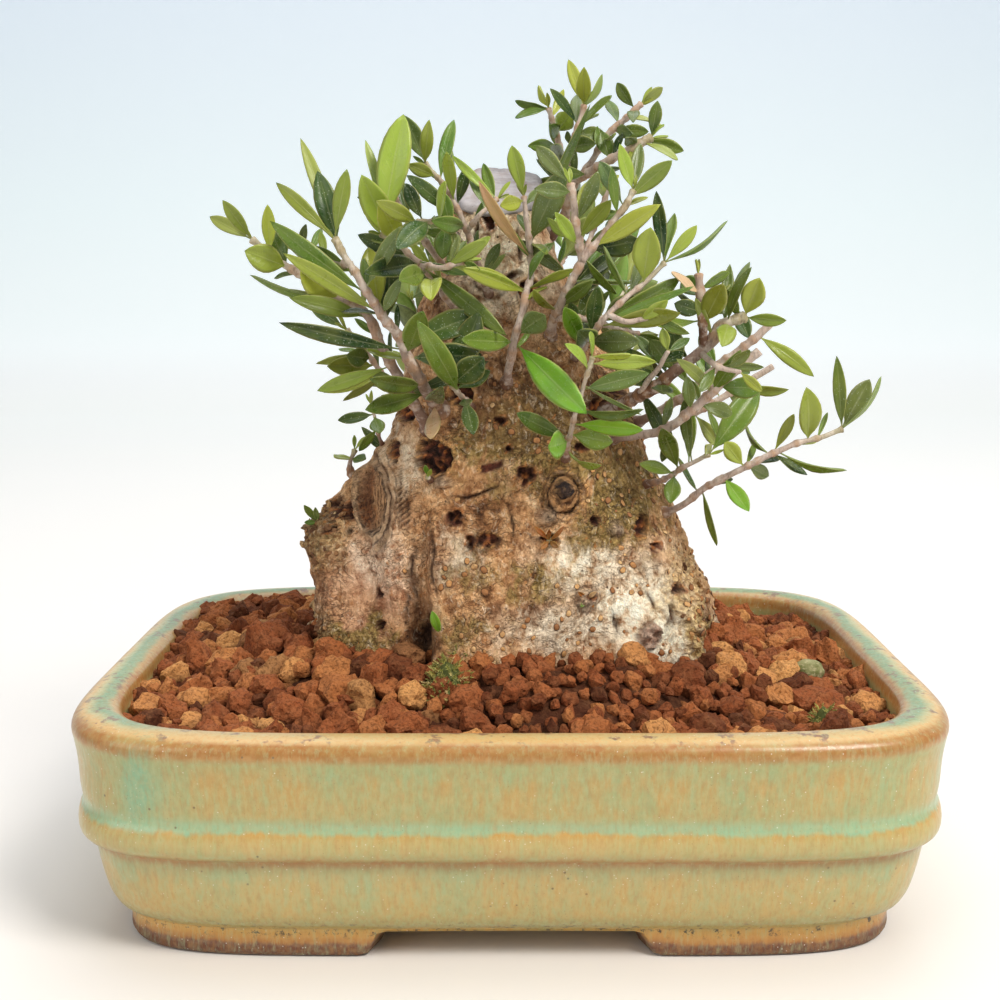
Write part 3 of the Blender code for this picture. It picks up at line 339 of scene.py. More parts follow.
def make_pot():
    foot = pot_ring(FOOT_HEIGHT, 8.9)
    share = [smoothstep(*FOOT_END_X, abs(x)) * smoothstep(*FOOT_END_Y, abs(y)) for x, y, _ in foot]
    low = np.array([(FOOT_HEIGHT - FOOT_LIP) * (1 - s) for s in share])
    rings = []
    insets = []

    def add(height, inset, foot_share=None):
        ring = pot_ring(height, inset)
        if foot_share is not None:
            ring[:, 2] = FOOT_HEIGHT + (low - FOOT_HEIGHT) * foot_share
        rings.append(ring)
        insets.append(inset)

    for inset in (50.0, 40.0, 30.0, 22.0, 17.0, 15.4):
        add(FOOT_HEIGHT, inset)
    for share_down, inset in FOOT_SECTION:
        add(FOOT_HEIGHT, inset, share_down)
    for height, inset in smooth_rows(POT_WALL, 3):
        add(height, inset)
    for inset in (17.0, 24.0, 34.0, 46.0):
        add(FLOOR_HEIGHT, inset)
    verts = np.concatenate(rings)
    # A hand-finished wall is never quite true.
    for k, (x, y, z) in enumerate(verts):
        wave = noise.noise((x * 0.025, y * 0.025, z * 0.05)) * 0.35
        length = math.hypot(x, y) or 1.0
        verts[k, 0] += x / length * wave
        verts[k, 1] += y / length * wave
    pot = new_piece("pot", verts, ring_faces(len(rings), POT_POINTS), glaze())
    add_numbers(pot, "inset", np.repeat(insets, POT_POINTS))
    for side in (-1, 1):
        turns = [2 * math.pi * k / 48 for k in range(48)]
        rings = [[(side * DRAIN_X + DRAIN_RADIUS * math.cos(a), DRAIN_RADIUS * math.sin(a), z)
                  for a in turns] for z in (3.0, 12.5)]
        drill = new_piece("drain_drill", rings[0] + rings[1], ring_faces(2, 48), pot.data.materials[0])
        hole = pot.modifiers.new("drain", "BOOLEAN")
        hole.object = drill
        hole.solver = "EXACT"
        depsgraph = bpy.context.evaluated_depsgraph_get()
        pot.data = bpy.data.meshes.new_from_object(pot.evaluated_get(depsgraph))
        pot.modifiers.clear()
        bpy.data.objects.remove(drill, do_unlink=True)
    return pot


pot = make_pot()
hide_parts("pot")
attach(pot, "root")

# Drain screens. Two squares of moulded black plastic mesh lie over the drain holes under the soil.
# The solids have the right shape, so they stay and only take the plastic's finish.


def screen_plastic():
    f = Finish("screen_plastic", 0.55)
    dust = f.grain(700, 4.0, 0.6)
    colour = f.mix(f.level(dust, 0.5, 0.68, 0.0, 0.7), (0.02, 0.021, 0.022), (0.19, 0.085, 0.045))
    return f.finish(Base_Color=colour, Roughness=f.level(dust, 0.4, 0.7, 0.45, 0.8),
                    Normal=f.relief(dust, 0.3, 0.1))


screen_finish = screen_plastic()
for name in ("drain_screen_left", "drain_screen_right"):
    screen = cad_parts[name]
    screen.data.materials.clear()
    screen.data.materials.append(screen_finish)

# Soil. The pot is filled with baked clay granules over a dark bed, heaped up towards the trunk. The bed
# is one closed mound; Geometry Nodes scatter knobbly granules over it in two sizes, only the small ones
# just in front of the trunk, and set each one's shade, its tone of clay. The bed's dark tone and the
# darkening of clay below the surface are painted shade in the gaps.
SOIL_EDGE_HEIGHT = 37.0
SOIL_MOUND = 8.0
GRANULE_SHAPES = 9
GRANULE_DENSITY = 900000.0
GRANULE_LIFT = 2.9
LARGE_GRANULES = {"Ground": "coarse_ground", "Spacing": 4.8, "Smallest": 2.4, "Largest": 4.4,
                  "Sink": 1.1, "Palest": 1.0, "Seed": 3}
# Small crumbs take only the darker, redder clay tones: partly their own colour, partly painted shade in the
# low gaps where they lie.
SMALL_GRANULES = {"Ground": "open_ground", "Spacing": 2.25, "Smallest": 1.1, "Largest": 2.3,
                  "Sink": 0.9, "Palest": 0.76, "Seed": 8}


def soil_height(x, y):
    far = math.hypot(x / 66.0, y / 50.0)
    back_left = math.exp(-((x + 55) ** 2 + (y - 40) ** 2) / 900.0)
    left = math.exp(-((x + 66) / 14.0) ** 2) * math.exp(-((y - 8) / 40.0) ** 2)
    return SOIL_EDGE_HEIGHT + SOIL_MOUND * (1 - smoothstep(0.55, 1.0, far)) + 3.2 * back_left + 1.6 * left


def fine_soil(x, y):
    """1 where the soil in front of the trunk holds only small crumbs, falling to 0 around it."""
    return math.exp(-((x - 13.0) / 22.0) ** 2 - ((y + 34.0) / 11.0) ** 2)


def clay():
    f = Finish("baked_clay", 0.95)
    shade, depth = f.read("shade"), f.read("depth")
    kind = f.ramp(shade, [
        (0.0, (0.09, 0.028, 0.013)), (0.1, (0.21, 0.06, 0.022)), (0.42, (0.32, 0.095, 0.034)),
        (0.64, (0.38, 0.122, 0.04)), (0.8, (0.52, 0.21, 0.07)), (0.96, (0.72, 0.36, 0.125)),
        (1.0, (0.13, 0.048, 0.026)),
    ])
    patches = f.grain(420, 5.0, 0.65)
    crumb = f.grain(1700, 6.0, 0.7)
    colour = f.mix(f.level(patches, 0.42, 0.68, 0.0, 0.6), kind, f.mix(0.5, kind, (0.42, 0.2, 0.09)))
    colour = f.mix(f.level(crumb, 0.52, 0.38, 0.0, 0.7), colour, f.mix(0.8, kind, (0.03, 0.01, 0.005)))
    # Painted shade: clay below the soil's surface darkens towards black, deepest in the gaps between
    # granules.
    colour = f.mix(f.times(depth, 0.9), colour, (0.028, 0.009, 0.005))
    pits = f.level(f.cells(900), 0.1, 0.34)
    height = f.plus(f.plus(f.times(patches, 0.9), f.times(crumb, 0.5)),
                    f.times(pits, 0.3))
    f.shader.inputs["Specular IOR Level"].default_value = 0.15
    return f.finish(Base_Color=colour, Normal=f.relief(height, 0.9, 0.9))


def make_bed(finish):
    rings = [pot_ring(12.4, 10.4), pot_ring(30.0, 8.6)]
    outer = pot_ring(SOIL_EDGE_HEIGHT, 8.2)
    for share in np.linspace(1.0, 0.03, 42):
        ring = outer.copy()
        ring[:, :2] *= share
        for point in ring:
            lumps = noise.noise((point[0] * 0.16, point[1] * 0.16, 3.0)) * 1.1
            point[2] = soil_height(point[0], point[1]) - 2.6 + lumps + 2.3 * fine_soil(point[0], point[1])
        rings.append(ring)
    verts = np.concatenate(rings)
    bed = new_piece("soil_bed", verts, ring_faces(len(rings), POT_POINTS), finish)
    bare = [0.0 if z < 33.0 or math.hypot((x - 1.0) / 35.0, y / 21.5) < 1.0 else 1.0 for x, y, z in verts]
    fine = [fine_soil(x, y) for x, y, _ in verts]
    add_numbers(bed, "open_ground", bare)
    add_numbers(bed, "coarse_ground", [b * (f < 0.45) for b, f in zip(bare, fine)])
    add_numbers(bed, "fineness", [1.0 - 0.15 * f for f in fine])
    # The bed takes the darkest clay tone: painted shade in the gaps between granules.
    add_numbers(bed, "shade", [0.0] * len(verts))
    return bed


def make_granule(number, finish, detail):
    """A knobbly crumb: a ball cut by a few flat sides, then roughened."""
    draw = random.Random(100 + number)
    shape = bmesh.new()
    bmesh.ops.create_icosphere(shape, subdivisions=detail, radius=1.0)
    sides = [(Vector((draw.gauss(0, 1), draw.gauss(0, 1), draw.gauss(0, 1))).normalized(),
              draw.uniform(0.62, 0.86)) for _ in range(9)]
    stretch = Vector((draw.uniform(0.9, 1.4), draw.uniform(0.75, 1.1), draw.uniform(0.65, 1.0)))
    for vert in shape.verts:
        co = vert.co.copy()
        for normal, reach in sides:
            over = co.dot(normal) - reach
            if over > 0:
                co -= normal * over * 0.95
        start = vert.co * 1.7 + Vector((number * 7.3, 0, 0))
        rough = noise.noise(start) * 0.26 + noise.noise(start * 2.6) * 0.13
        co *= 1.0 + (rough + noise.noise(start * 5.5) * 0.09)
        vert.co = Vector((co.x * stretch.x, co.y * stretch.y, co.z * stretch.z)) * MM
    bmesh.ops.dissolve_degenerate(shape, dist=0.00001, edges=shape.edges)
    mesh = bpy.data.meshes.new(f"granule_shape_{number}")
    shape.to_mesh(mesh)
    shape.free()
    mesh.materials.append(finish)
    return bpy.data.objects.new(f"granule_shape_{number}", mesh)


class NodeTree:
    """A Geometry Nodes tree that scatters shapes, under construction, with named inputs."""

    def __init__(self, name, own_inputs):
        self.tree = bpy.data.node_groups.new(name, "GeometryNodeTree")
        self.tree.interface.new_socket(name="Geometry", in_out="OUTPUT", socket_type="NodeSocketGeometry")
        inputs = {"Geometry": "Geometry", "Spacing": "Float", "Smallest": "Float", "Largest": "Float",
                  "Seed": "Int", "Shapes": "Collection", "Finish": "Material", **own_inputs}
        for key, kind in inputs.items():
            self.tree.interface.new_socket(name=key, in_out="INPUT", socket_type="NodeSocket" + kind)
        self.given = self.tree.nodes.new("NodeGroupInput").outputs
        self.result = self.tree.nodes.new("NodeGroupOutput").inputs[0]

    def node(self, kind, out=0, settings=None, sockets=None):
        made = self.tree.nodes.new(kind)
        for key, value in (settings or {}).items():
            setattr(made, key, value)
        for key, value in (sockets or {}).items():
            if isinstance(value, bpy.types.NodeSocket):
                self.tree.links.new(value, made.inputs[key])
            else:
                made.inputs[key].default_value = value
        return made.outputs[out]

    def times(self, a, b):
        return self.node("ShaderNodeMath", settings={"operation": "MULTIPLY"}, sockets={0: a, 1: b})

    def read(self, name):
        return self.node("GeometryNodeInputNamedAttribute", settings={"data_type": "FLOAT"},
                         sockets={"Name": name})

    def chance(self, kind, low, high, seed):
        first = {"FLOAT_VECTOR": 0, "FLOAT": 2, "INT": 4}[kind]
        outlet = {"FLOAT_VECTOR": 0, "FLOAT": 1, "INT": 2}[kind]
        return self.node("FunctionNodeRandomValue", outlet, {"data_type": kind},
                         {first: low, first + 1: high, 8: seed})

    def scatter(self, ground, density, pick, size, turn=None):
        """Shapes set on open ground by chance, turned to face out unless a turn is given."""
        given = self.given
        points = self.node("GeometryNodeDistributePointsOnFaces",
                           settings={"distribute_method": "POISSON"},
                           sockets={"Mesh": given["Geometry"], "Seed": given["Seed"], "Density Max": density,
                                    "Distance Min": self.times(given["Spacing"], MM),
                                    "Density Factor": self.read(ground)})
        shapes = self.node("GeometryNodeCollectionInfo", sockets={
            "Collection": given["Shapes"], "Separate Children": True, "Reset Children": True})
        return self.node("GeometryNodeInstanceOnPoints", sockets={
            "Points": points, "Instance": shapes, "Pick Instance": True, "Instance Index": pick,
            "Rotation": turn or points.node.outputs[2], "Scale": size})

    def close(self, laid, palest, seed):
        """Gives each shape its shade and the material, and closes the tree."""
        laid = self.node("GeometryNodeStoreNamedAttribute",
                         settings={"domain": "INSTANCE", "data_type": "FLOAT"},
                         sockets={"Geometry": laid, "Name": "shade",
                                  "Value": self.chance("FLOAT", 0.0, palest, seed)})
        real = self.node("GeometryNodeRealizeInstances", sockets={0: laid})
        done = self.node("GeometryNodeSetMaterial", sockets={0: real, 2: self.given["Finish"]})
        self.tree.links.new(done, self.result)
        return self.tree


def granule_tree():
    """Crumbs scattered on open ground, each turned, sized, sunk and shaded by chance."""
    t = NodeTree("scatter_granules", {"Ground": "String", "Sink": "Float", "Palest": "Float"})
    given = t.given
    size = t.times(t.chance("FLOAT", given["Smallest"], given["Largest"], given["Seed"]),
                   t.read("fineness"))
    laid = t.scatter(given["Ground"], GRANULE_DENSITY, t.chance("INT", 0, GRANULE_SHAPES - 1, 11), size,
                     t.chance("FLOAT_VECTOR", (0, 0, 0), (6.28, 6.28, 6.28), 12))
    lift = t.node("ShaderNodeMath", settings={"operation": "SUBTRACT"},
                  sockets={0: t.chance("FLOAT", 0.0, GRANULE_LIFT, 13), 1: given["Sink"]})
    lift = t.node("ShaderNodeCombineXYZ", sockets={2: t.times(lift, MM)})
    laid = t.node("GeometryNodeTranslateInstances",
                  sockets={"Instances": laid, "Translation": lift, "Local Space": False})
    return t.close(laid, given["Palest"], 14)


def grow_from(base, name, tree, shapes, finish, values):
    """The plain mesh that a tree of nodes makes from a base piece and shapes, which are then removed."""
    held = bpy.data.collections.new(name + "_shapes")
    for shape in shapes:
        held.objects.link(shape)
    values = {**values, "Shapes": held, "Finish": finish}
    modifier = base.modifiers.new(name, "NODES")
    modifier.node_group = tree
    for socket in tree.interface.items_tree:
        if socket.item_type == "SOCKET" and socket.in_out == "INPUT" and socket.name in values:
            modifier[socket.identifier] = values[socket.name]
    base.update_tag()
    depsgraph = bpy.context.evaluated_depsgraph_get()
    mesh = bpy.data.meshes.new_from_object(base.evaluated_get(depsgraph))
    base.modifiers.remove(modifier)
    for shape in shapes:
        bpy.data.objects.remove(shape, do_unlink=True)
    mesh.name = name
    made = bpy.data.objects.new(name, mesh)
    bpy.context.scene.collection.objects.link(made)
    return made


def add_gap_shade(piece):
    """How deep each point lies under the soil's surface, which its material darkens as painted shade in the
    gaps.
    """
    places = [vert.co / MM for vert in piece.data.vertices]
    add_numbers(piece, "depth", [min(1.0, max(0.0, (soil_height(p.x, p.y) - p.z) / 2.8)) for p in places])


clay_finish = clay()
soil_bed = make_bed(clay_finish)
scatter = granule_tree()
granules = []
for name, detail, values in (("large_granules", 3, LARGE_GRANULES),
                             ("small_granules", 2, SMALL_GRANULES)):
    shapes = [make_granule(number, clay_finish, detail) for number in range(GRANULE_SHAPES)]
    granules.append(grow_from(soil_bed, name, scatter, shapes, clay_finish, values))
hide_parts("soil")
for piece in [soil_bed] + granules:
    add_gap_shade(piece)
    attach(piece, "root")

# Trunk. One old olive trunk, wide at its rooted foot, with a lobe and a crevice on the left, healed
# cuts, knots and corky flanks. It is one fine sweep of the same outline as the solid, carved by listed
# marks and noise; the marks also colour the bark.
TRUNK_FOOT = 30.0
TRUNK_TOP = 130.0
TRUNK_BURIED_RINGS = 8
TRUNK_OPEN_RINGS = 254
TRUNK_SEGMENTS = 330
CUT_SLOPE = 0.55
WAVER_SEED = 26
# Height, left edge, right edge, half depth.
TRUNK_OUTLINE = [
    (30.0, -35.0, 37.0, 24.0), (42.5, -38.0, 40.0, 26.5), (52.0, -37.0, 38.6, 25.5),
    (60.0, -37.4, 35.4, 24.0), (67.0, -36.0, 32.0, 22.5), (74.6, -32.0, 29.0, 21.0),
    (79.5, -27.0, 27.2, 20.0), (84.0, -23.0, 25.6, 19.0), (90.4, -21.2, 23.0, 17.5),
    (96.2, -20.2, 21.6, 16.5), (102.0, -19.0, 18.6, 15.0), (108.0, -17.4, 14.8, 13.0),
    (113.0, -15.6, 11.6, 11.2), (119.0, -13.2, 9.0, 9.4), (125.0, -11.6, 7.0, 8.0),
    (130.0, -11.0, 6.2, 7.4),
]
# Hollows and swellings of the front: x, height, half width, half height, outward push.
TRUNK_FORMS = [
    (-17.6, 58.0, 2.4, 17.0, -4.2), (-17.6, 46.0, 2.8, 5.0, -3.0), (-26.8, 70.6, 3.6, 7.4, -2.0),
    (-38.5, 65.0, 6.0, 4.4, 2.8), (-14.6, 78.5, 3.4, 3.4, -1.6), (10.4, 72.0, 4.6, 4.6, 1.8),
    (10.4, 72.0, 1.8, 1.8, -2.0), (-9.0, 92.0, 5.0, 4.0, -1.8), (-2.0, 117.0, 3.6, 4.6, -2.6),
    (36.0, 50.0, 6.0, 8.0, 1.6),
]
BLACK_BROWN = (0.035, 0.014, 0.009)
DARK_RED = (0.13, 0.035, 0.018)
RUST = (0.48, 0.165, 0.04)
AMBER = (0.64, 0.33, 0.11)
TAN = (0.5, 0.33, 0.19)
# Marks of the bark, seen from the front: kind, x, height, half width, half height, turn in degrees.
BARK_MARKS = [
    ("healed", -26.0, 72.4, 3.1, 6.2, 6), ("hole", -30.4, 70.2, 1.4, 1.8, 0),
    ("crack", -30.6, 66.4, 1.1, 0.7, 20), ("scar", -13.7, 81.2, 3.6, 3.5, 0),
    ("scar", -21.6, 82.0, 1.2, 1.9, -6), ("scar", -18.9, 88.6, 1.8, 1.6, 0),
    ("scar", -8.9, 92.8, 2.9, 2.5, 0), ("hole", -10.0, 70.9, 1.7, 1.5, 20),
    ("chip", -3.7, 80.0, 2.7, 0.8, 10), ("hole", -0.7, 82.9, 0.7, 0.7, 0),
    ("hole", 3.1, 78.1, 1.5, 1.7, 0), ("beak", 9.8, 74.5, 2.9, 3.5, 0), ("nub", 6.6, 70.9, 1.9, 1.6, 0),
    ("scar", 7.4, 66.6, 1.9, 1.2, 0), ("scar", -4.3, 67.2, 2.2, 1.6, 10),
    ("hole", -7.4, 66.6, 1.1, 1.3, 0), ("hole", 16.1, 69.4, 0.9, 0.9, 0),
    ("hole", 27.2, 64.2, 0.9, 0.9, 0), ("nub", 19.6, 68.0, 1.2, 1.2, 0),
    ("scar", 24.3, 67.6, 1.7, 2.0, -20), ("nub", 14.3, 55.5, 2.0, 1.8, 0),
    ("hole", 14.4, 55.9, 0.9, 0.7, 0), ("flake", 25.4, 48.8, 2.2, 2.6, 14),
    ("ringed", 0.4, 97.8, 2.6, 2.2, 0), ("hole", -24.4, 55.8, 0.8, 1.0, 0),
    ("hole", -33.6, 66.8, 1.5, 0.9, 20), ("hole", -33.2, 70.6, 1.7, 2.1, 0),
    ("crack", 0.2, 70.4, 0.35, 3.2, 8), ("crack", -20.6, 73.6, 0.35, 6.2, 6),
    ("crack", -19.2, 71.0, 0.4, 5.4, 4), ("crack", -17.4, 60.0, 0.55, 9.0, 2),
    ("crack", -15.2, 49.0, 1.0, 6.0, -8), ("crack", -14.0, 62.0, 0.4, 7.0, 6),
    ("crack", -18.6, 54.0, 0.4, 6.0, -2), ("crack", -6.4, 75.0, 5.0, 0.4, 14),
    ("crack", 19.4, 51.0, 0.5, 2.6, 6), ("crack", 30.0, 52.0, 0.8, 2.4, -20),
    ("hole", 31.8, 56.4, 1.5, 0.9, 0), ("crack", 26.6, 55.0, 0.4, 2.6, 30),
    ("hole", 4.4, 60.7, 0.7, 0.6, 0), ("hole", -20.2, 63.0, 0.5, 0.6, 0),
    ("hole", -3.6, 124.6, 1.5, 2.2, 0), ("crack", 0.4, 114.5, 2.2, 0.7, 24),
    ("nub", -4.4, 112.8, 3.0, 2.2, 0), ("scar", 3.4, 112.0, 1.5, 2.6, -14),
    ("crack", 1.8, 120.0, 0.4, 4.0, 4), ("crack", -6.0, 121.0, 0.4, 4.5, -4),
    ("scar", 20.6, 93.6, 2.6, 1.8, 0), ("hole", 12.8, 83.0, 1.2, 0.8, 0),
    ("scar", 16.6, 89.4, 2.6, 2.0, 12), ("hole", -1.6, 88.4, 1.4, 1.0, 0),
    ("nub", -12.6, 76.6, 1.6, 1.1, 0), ("hole", -24.0, 50.0, 1.2, 0.8, 0),
]
# The same for the unseen back.
BACK_MARKS = [
    ("scar", 14.0, 62.0, 3.4, 3.0, 10), ("hole", 2.0, 71.0, 1.2, 1.4, 0),
    ("ringed", -12.0, 66.0, 3.0, 2.6, 0), ("crack", 6.0, 56.0, 0.6, 8.0, 8),
    ("crack", -6.0, 84.0, 0.5, 7.0, -6), ("scar", -18.0, 76.0, 2.0, 2.4, 0),
    ("hole", 22.0, 54.0, 1.4, 1.0, 20), ("chip", 8.0, 88.0, 2.4, 0.9, -8),
    ("hole", -24.0, 56.0, 1.0, 1.2, 0), ("crack", -16.0, 52.0, 0.6, 6.0, 4),
    ("nub", 10.0, 78.0, 2.2, 1.9, 0), ("scar", -1.0, 102.0, 2.4, 2.8, 0),
    ("crack", 2.0, 112.0, 0.5, 6.0, 3), ("hole", -8.0, 96.0, 1.0, 0.9, 0),
    ("flake", 26.0, 62.0, 2.0, 2.6, 0),
]
KNOT_PLACE = (9.8, 74.5, 2.8, 3.4)
# Broad colours of the bark by kind, and painted shade under the leaves, in the crevice, on the left flank:
# x, height, half width, half height, strength.
BARK_TINTS = {
    "cream": [(24.5, 53.0, 11.0, 9.5, 1.0), (14.0, 62.0, 9.0, 6.0, 0.8), (30.0, 47.0, 9.0, 8.0, 1.0),
        (12.0, 50.0, 12.0, 6.0, 0.6), (-2.0, 118.0, 9.0, 13.0, 0.75), (8.0, 48.0, 10.0, 4.0, 0.5),
        (-9.0, 64.5, 4.0, 4.0, 0.6), (-24.0, 62.0, 7.0, 7.0, 0.35), (-20.0, 80.0, 4.0, 8.0, 0.5)],
    "olive": [(10.0, 86.0, 15.0, 10.0, 1.0), (22.0, 74.0, 10.0, 9.0, 0.9), (-4.0, 84.0, 8.0, 6.0, 0.6),
        (5.0, 59.5, 6.5, 3.4, 0.6), (-6.5, 63.0, 5.0, 6.0, 0.4), (20.0, 71.0, 8.0, 6.0, 0.75),
        (14.0, 66.0, 5.0, 3.5, 0.5), (-8.0, 50.0, 8.0, 4.5, 0.45), (36.0, 47.0, 5.0, 5.0, 0.7),
        (-30.0, 47.0, 9.0, 3.2, 0.9), (0.0, 76.0, 10.0, 3.0, 0.4)],
    "lilac": [(-26.0, 59.0, 9.5, 9.0, 1.0), (-28.0, 52.0, 8.0, 5.0, 0.6)],
    "shade": [(17.0, 92.0, 11.0, 7.0, 0.9), (-2.0, 96.0, 16.0, 9.0, 0.95),
        (-15.4, 46.5, 2.6, 5.0, 1.0), (-36.5, 68.0, 4.0, 6.0, 0.8), (-16.6, 56.0, 1.3, 12.0, 0.6),
        (-38.0, 51.0, 3.5, 5.0, 0.7), (-9.0, 103.0, 10.0, 9.0, 0.6), (4.0, 87.0, 17.0, 6.0, 0.6),
        (24.0, 84.0, 7.0, 8.0, 0.6)],
    "cork": [(-35.5, 65.5, 5.5, 7.0, 1.0), (34.5, 54.0, 6.5, 11.0, 0.8), (-38.0, 49.0, 3.0, 5.0, 0.6)],
}


def trunk_size(height):
    """Middle, half width and half depth of the trunk at a height, read from its outline."""
    rows = TRUNK_OUTLINE
    height = min(max(height, rows[0][0]), rows[-1][0])
    for low, high in zip(rows, rows[1:]):
        if height <= high[0]:
            break
    t = (height - low[0]) / (high[0] - low[0])
    t = t * t * (3 - 2 * t) * 0.5 + t * 0.5
    left, right, deep = (low[k] + (high[k] - low[k]) * t for k in (1, 2, 3))
    return (left + right) / 2, (right - left) / 2, deep


def trunk_ring(height, segments, gather=0.0):
    """Points of the bark round one height, gathered at the front if wished, and their directions."""
    middle, half_width, half_depth = trunk_size(height)
    angle = 2 * np.pi * np.arange(segments) / segments
    angle = angle - gather * np.cos(angle)
    c, s = np.cos(angle), np.sin(angle)
    angle = -angle
    scale = (np.abs(c) ** 2.3 + np.abs(s) ** 2.3) ** (-1 / 2.3)
    roots = 1 - smoothstep(44, 74, height)
    flutes = 0.055 * roots * np.cos(7 * angle + 0.6) + 0.03 * np.cos(5 * angle + height / 14)
    flutes += 0.02 * np.cos(9 * angle - height / 9)
    reach = scale * (1 + flutes)
    x = middle + half_width * c * reach
    y = half_depth * s * reach
    push = np.zeros(segments)
    for form_x, form_z, wide, tall, out in TRUNK_FORMS:
        beside = (x - form_x) / wide
        above = (height - form_z) / tall
        push += np.where(s < 0.25, out * np.exp(-(beside * beside + above * above)), 0.0)
    x = x + c * push
    y = y + s * push
    slope = smoothstep(110, TRUNK_TOP, height)
    return np.stack([x, y, height + slope * CUT_SLOPE * y], 1), np.stack([c, s], 1)


def fine_mark(f, middle_x, middle_z, wide, tall):
    """Places about a mark, 1 at its edge: across, up, straight out, and 1 on its side of the trunk."""
    shake = f.node("ShaderNodeTexNoise", out=1, Vector=f.place, Scale=420.0, Detail=4.0)
    wavy = f.node("ShaderNodeMixRGB", i0=0.0016, i1=f.place, i2=shake)
    x, y, z = [f.node("ShaderNodeSeparateXYZ", out=n, Vector=wavy) for n in range(3)]
    across = f.maths("DIVIDE", f.minus(x, (middle_x + 0.8) * MM), wide * MM)
    up = f.maths("DIVIDE", f.minus(z, (middle_z + 0.8) * MM), tall * MM)
    front = f.times(f.level(y, -0.006, -0.01), f.level(f.grain(650, 3.0), 0.36, 0.58, 0.3, 1.0))
    return across, up, far_from(f, across, up), front


def far_from(f, across, up):
    return f.maths("SQRT", f.plus(f.times(across, across), f.times(up, up)))


def band(f, far, middle, half, most):
    """A ring at one distance, fading at both its edges."""
    return f.level(f.maths("ABSOLUTE", f.minus(far, middle)), half, half * 0.4, 0.0, most)


def draw_cuts(f, colour):
    """Fine lines of the two marks that catch the eye: the healed cut and the hooded knot."""
    dark, wood = (0.028, 0.013, 0.008), f.streaks((2300, 2300, 170), 3.0, 0.6)
    across, up, far, front = fine_mark(f, *BARK_MARKS[0][1:5])
    inner = f.mix(f.level(across, -0.1, 0.22), (0.21, 0.078, 0.028), (0.5, 0.28, 0.135))
    inner = f.mix(f.level(wood, 0.53, 0.44, 0.0, 0.85), inner, (0.05, 0.022, 0.012))
    right = f.level(across, -0.15, 0.3)
    marks = [(f.level(far, 0.92, 0.86), inner), (band(f, far, 0.95, 0.09, 0.9), dark),
             (band(f, far, 1.12, 0.12, 0.5), (0.66, 0.455, 0.275)),
             (f.times(right, band(f, far, 1.27, 0.06, 0.7)), dark),
             (f.times(right, band(f, far, 1.43, 0.13, 0.6)), (0.64, 0.43, 0.25)),
             (f.times(right, band(f, far, 1.62, 0.07, 0.5)), dark)]
    for share, tone in marks:
        colour = f.mix(f.times(share, front), colour, tone)
    across, up, far, front = fine_mark(f, *KNOT_PLACE)
    hood = far_from(f, f.maths("DIVIDE", across, 0.66), f.maths("DIVIDE", f.minus(up, 0.34), 0.52))
    rings = far_from(f, across, f.times(f.minus(up, 0.45), 0.8))
    rings = f.level(f.maths("COSINE", f.times(rings, 13.0)), -0.5, 0.5)
    rings = f.mix(rings, (0.13, 0.06, 0.028), (0.6, 0.33, 0.145))
    marks = [(f.level(far, 0.98, 0.9), rings), (band(f, hood, 1.08, 0.16, 0.9), (0.5, 0.27, 0.12)),
             (f.level(hood, 1.0, 0.9), (0.038, 0.026, 0.024)), (band(f, far, 1.02, 0.09, 0.95), dark),
             (band(f, far, 1.24, 0.12, 0.45), (0.6, 0.39, 0.22)), (band(f, far, 1.46, 0.09, 0.35), dark)]
    for share, tone in marks:
        colour = f.mix(f.times(share, front), colour, tone)
    return colour


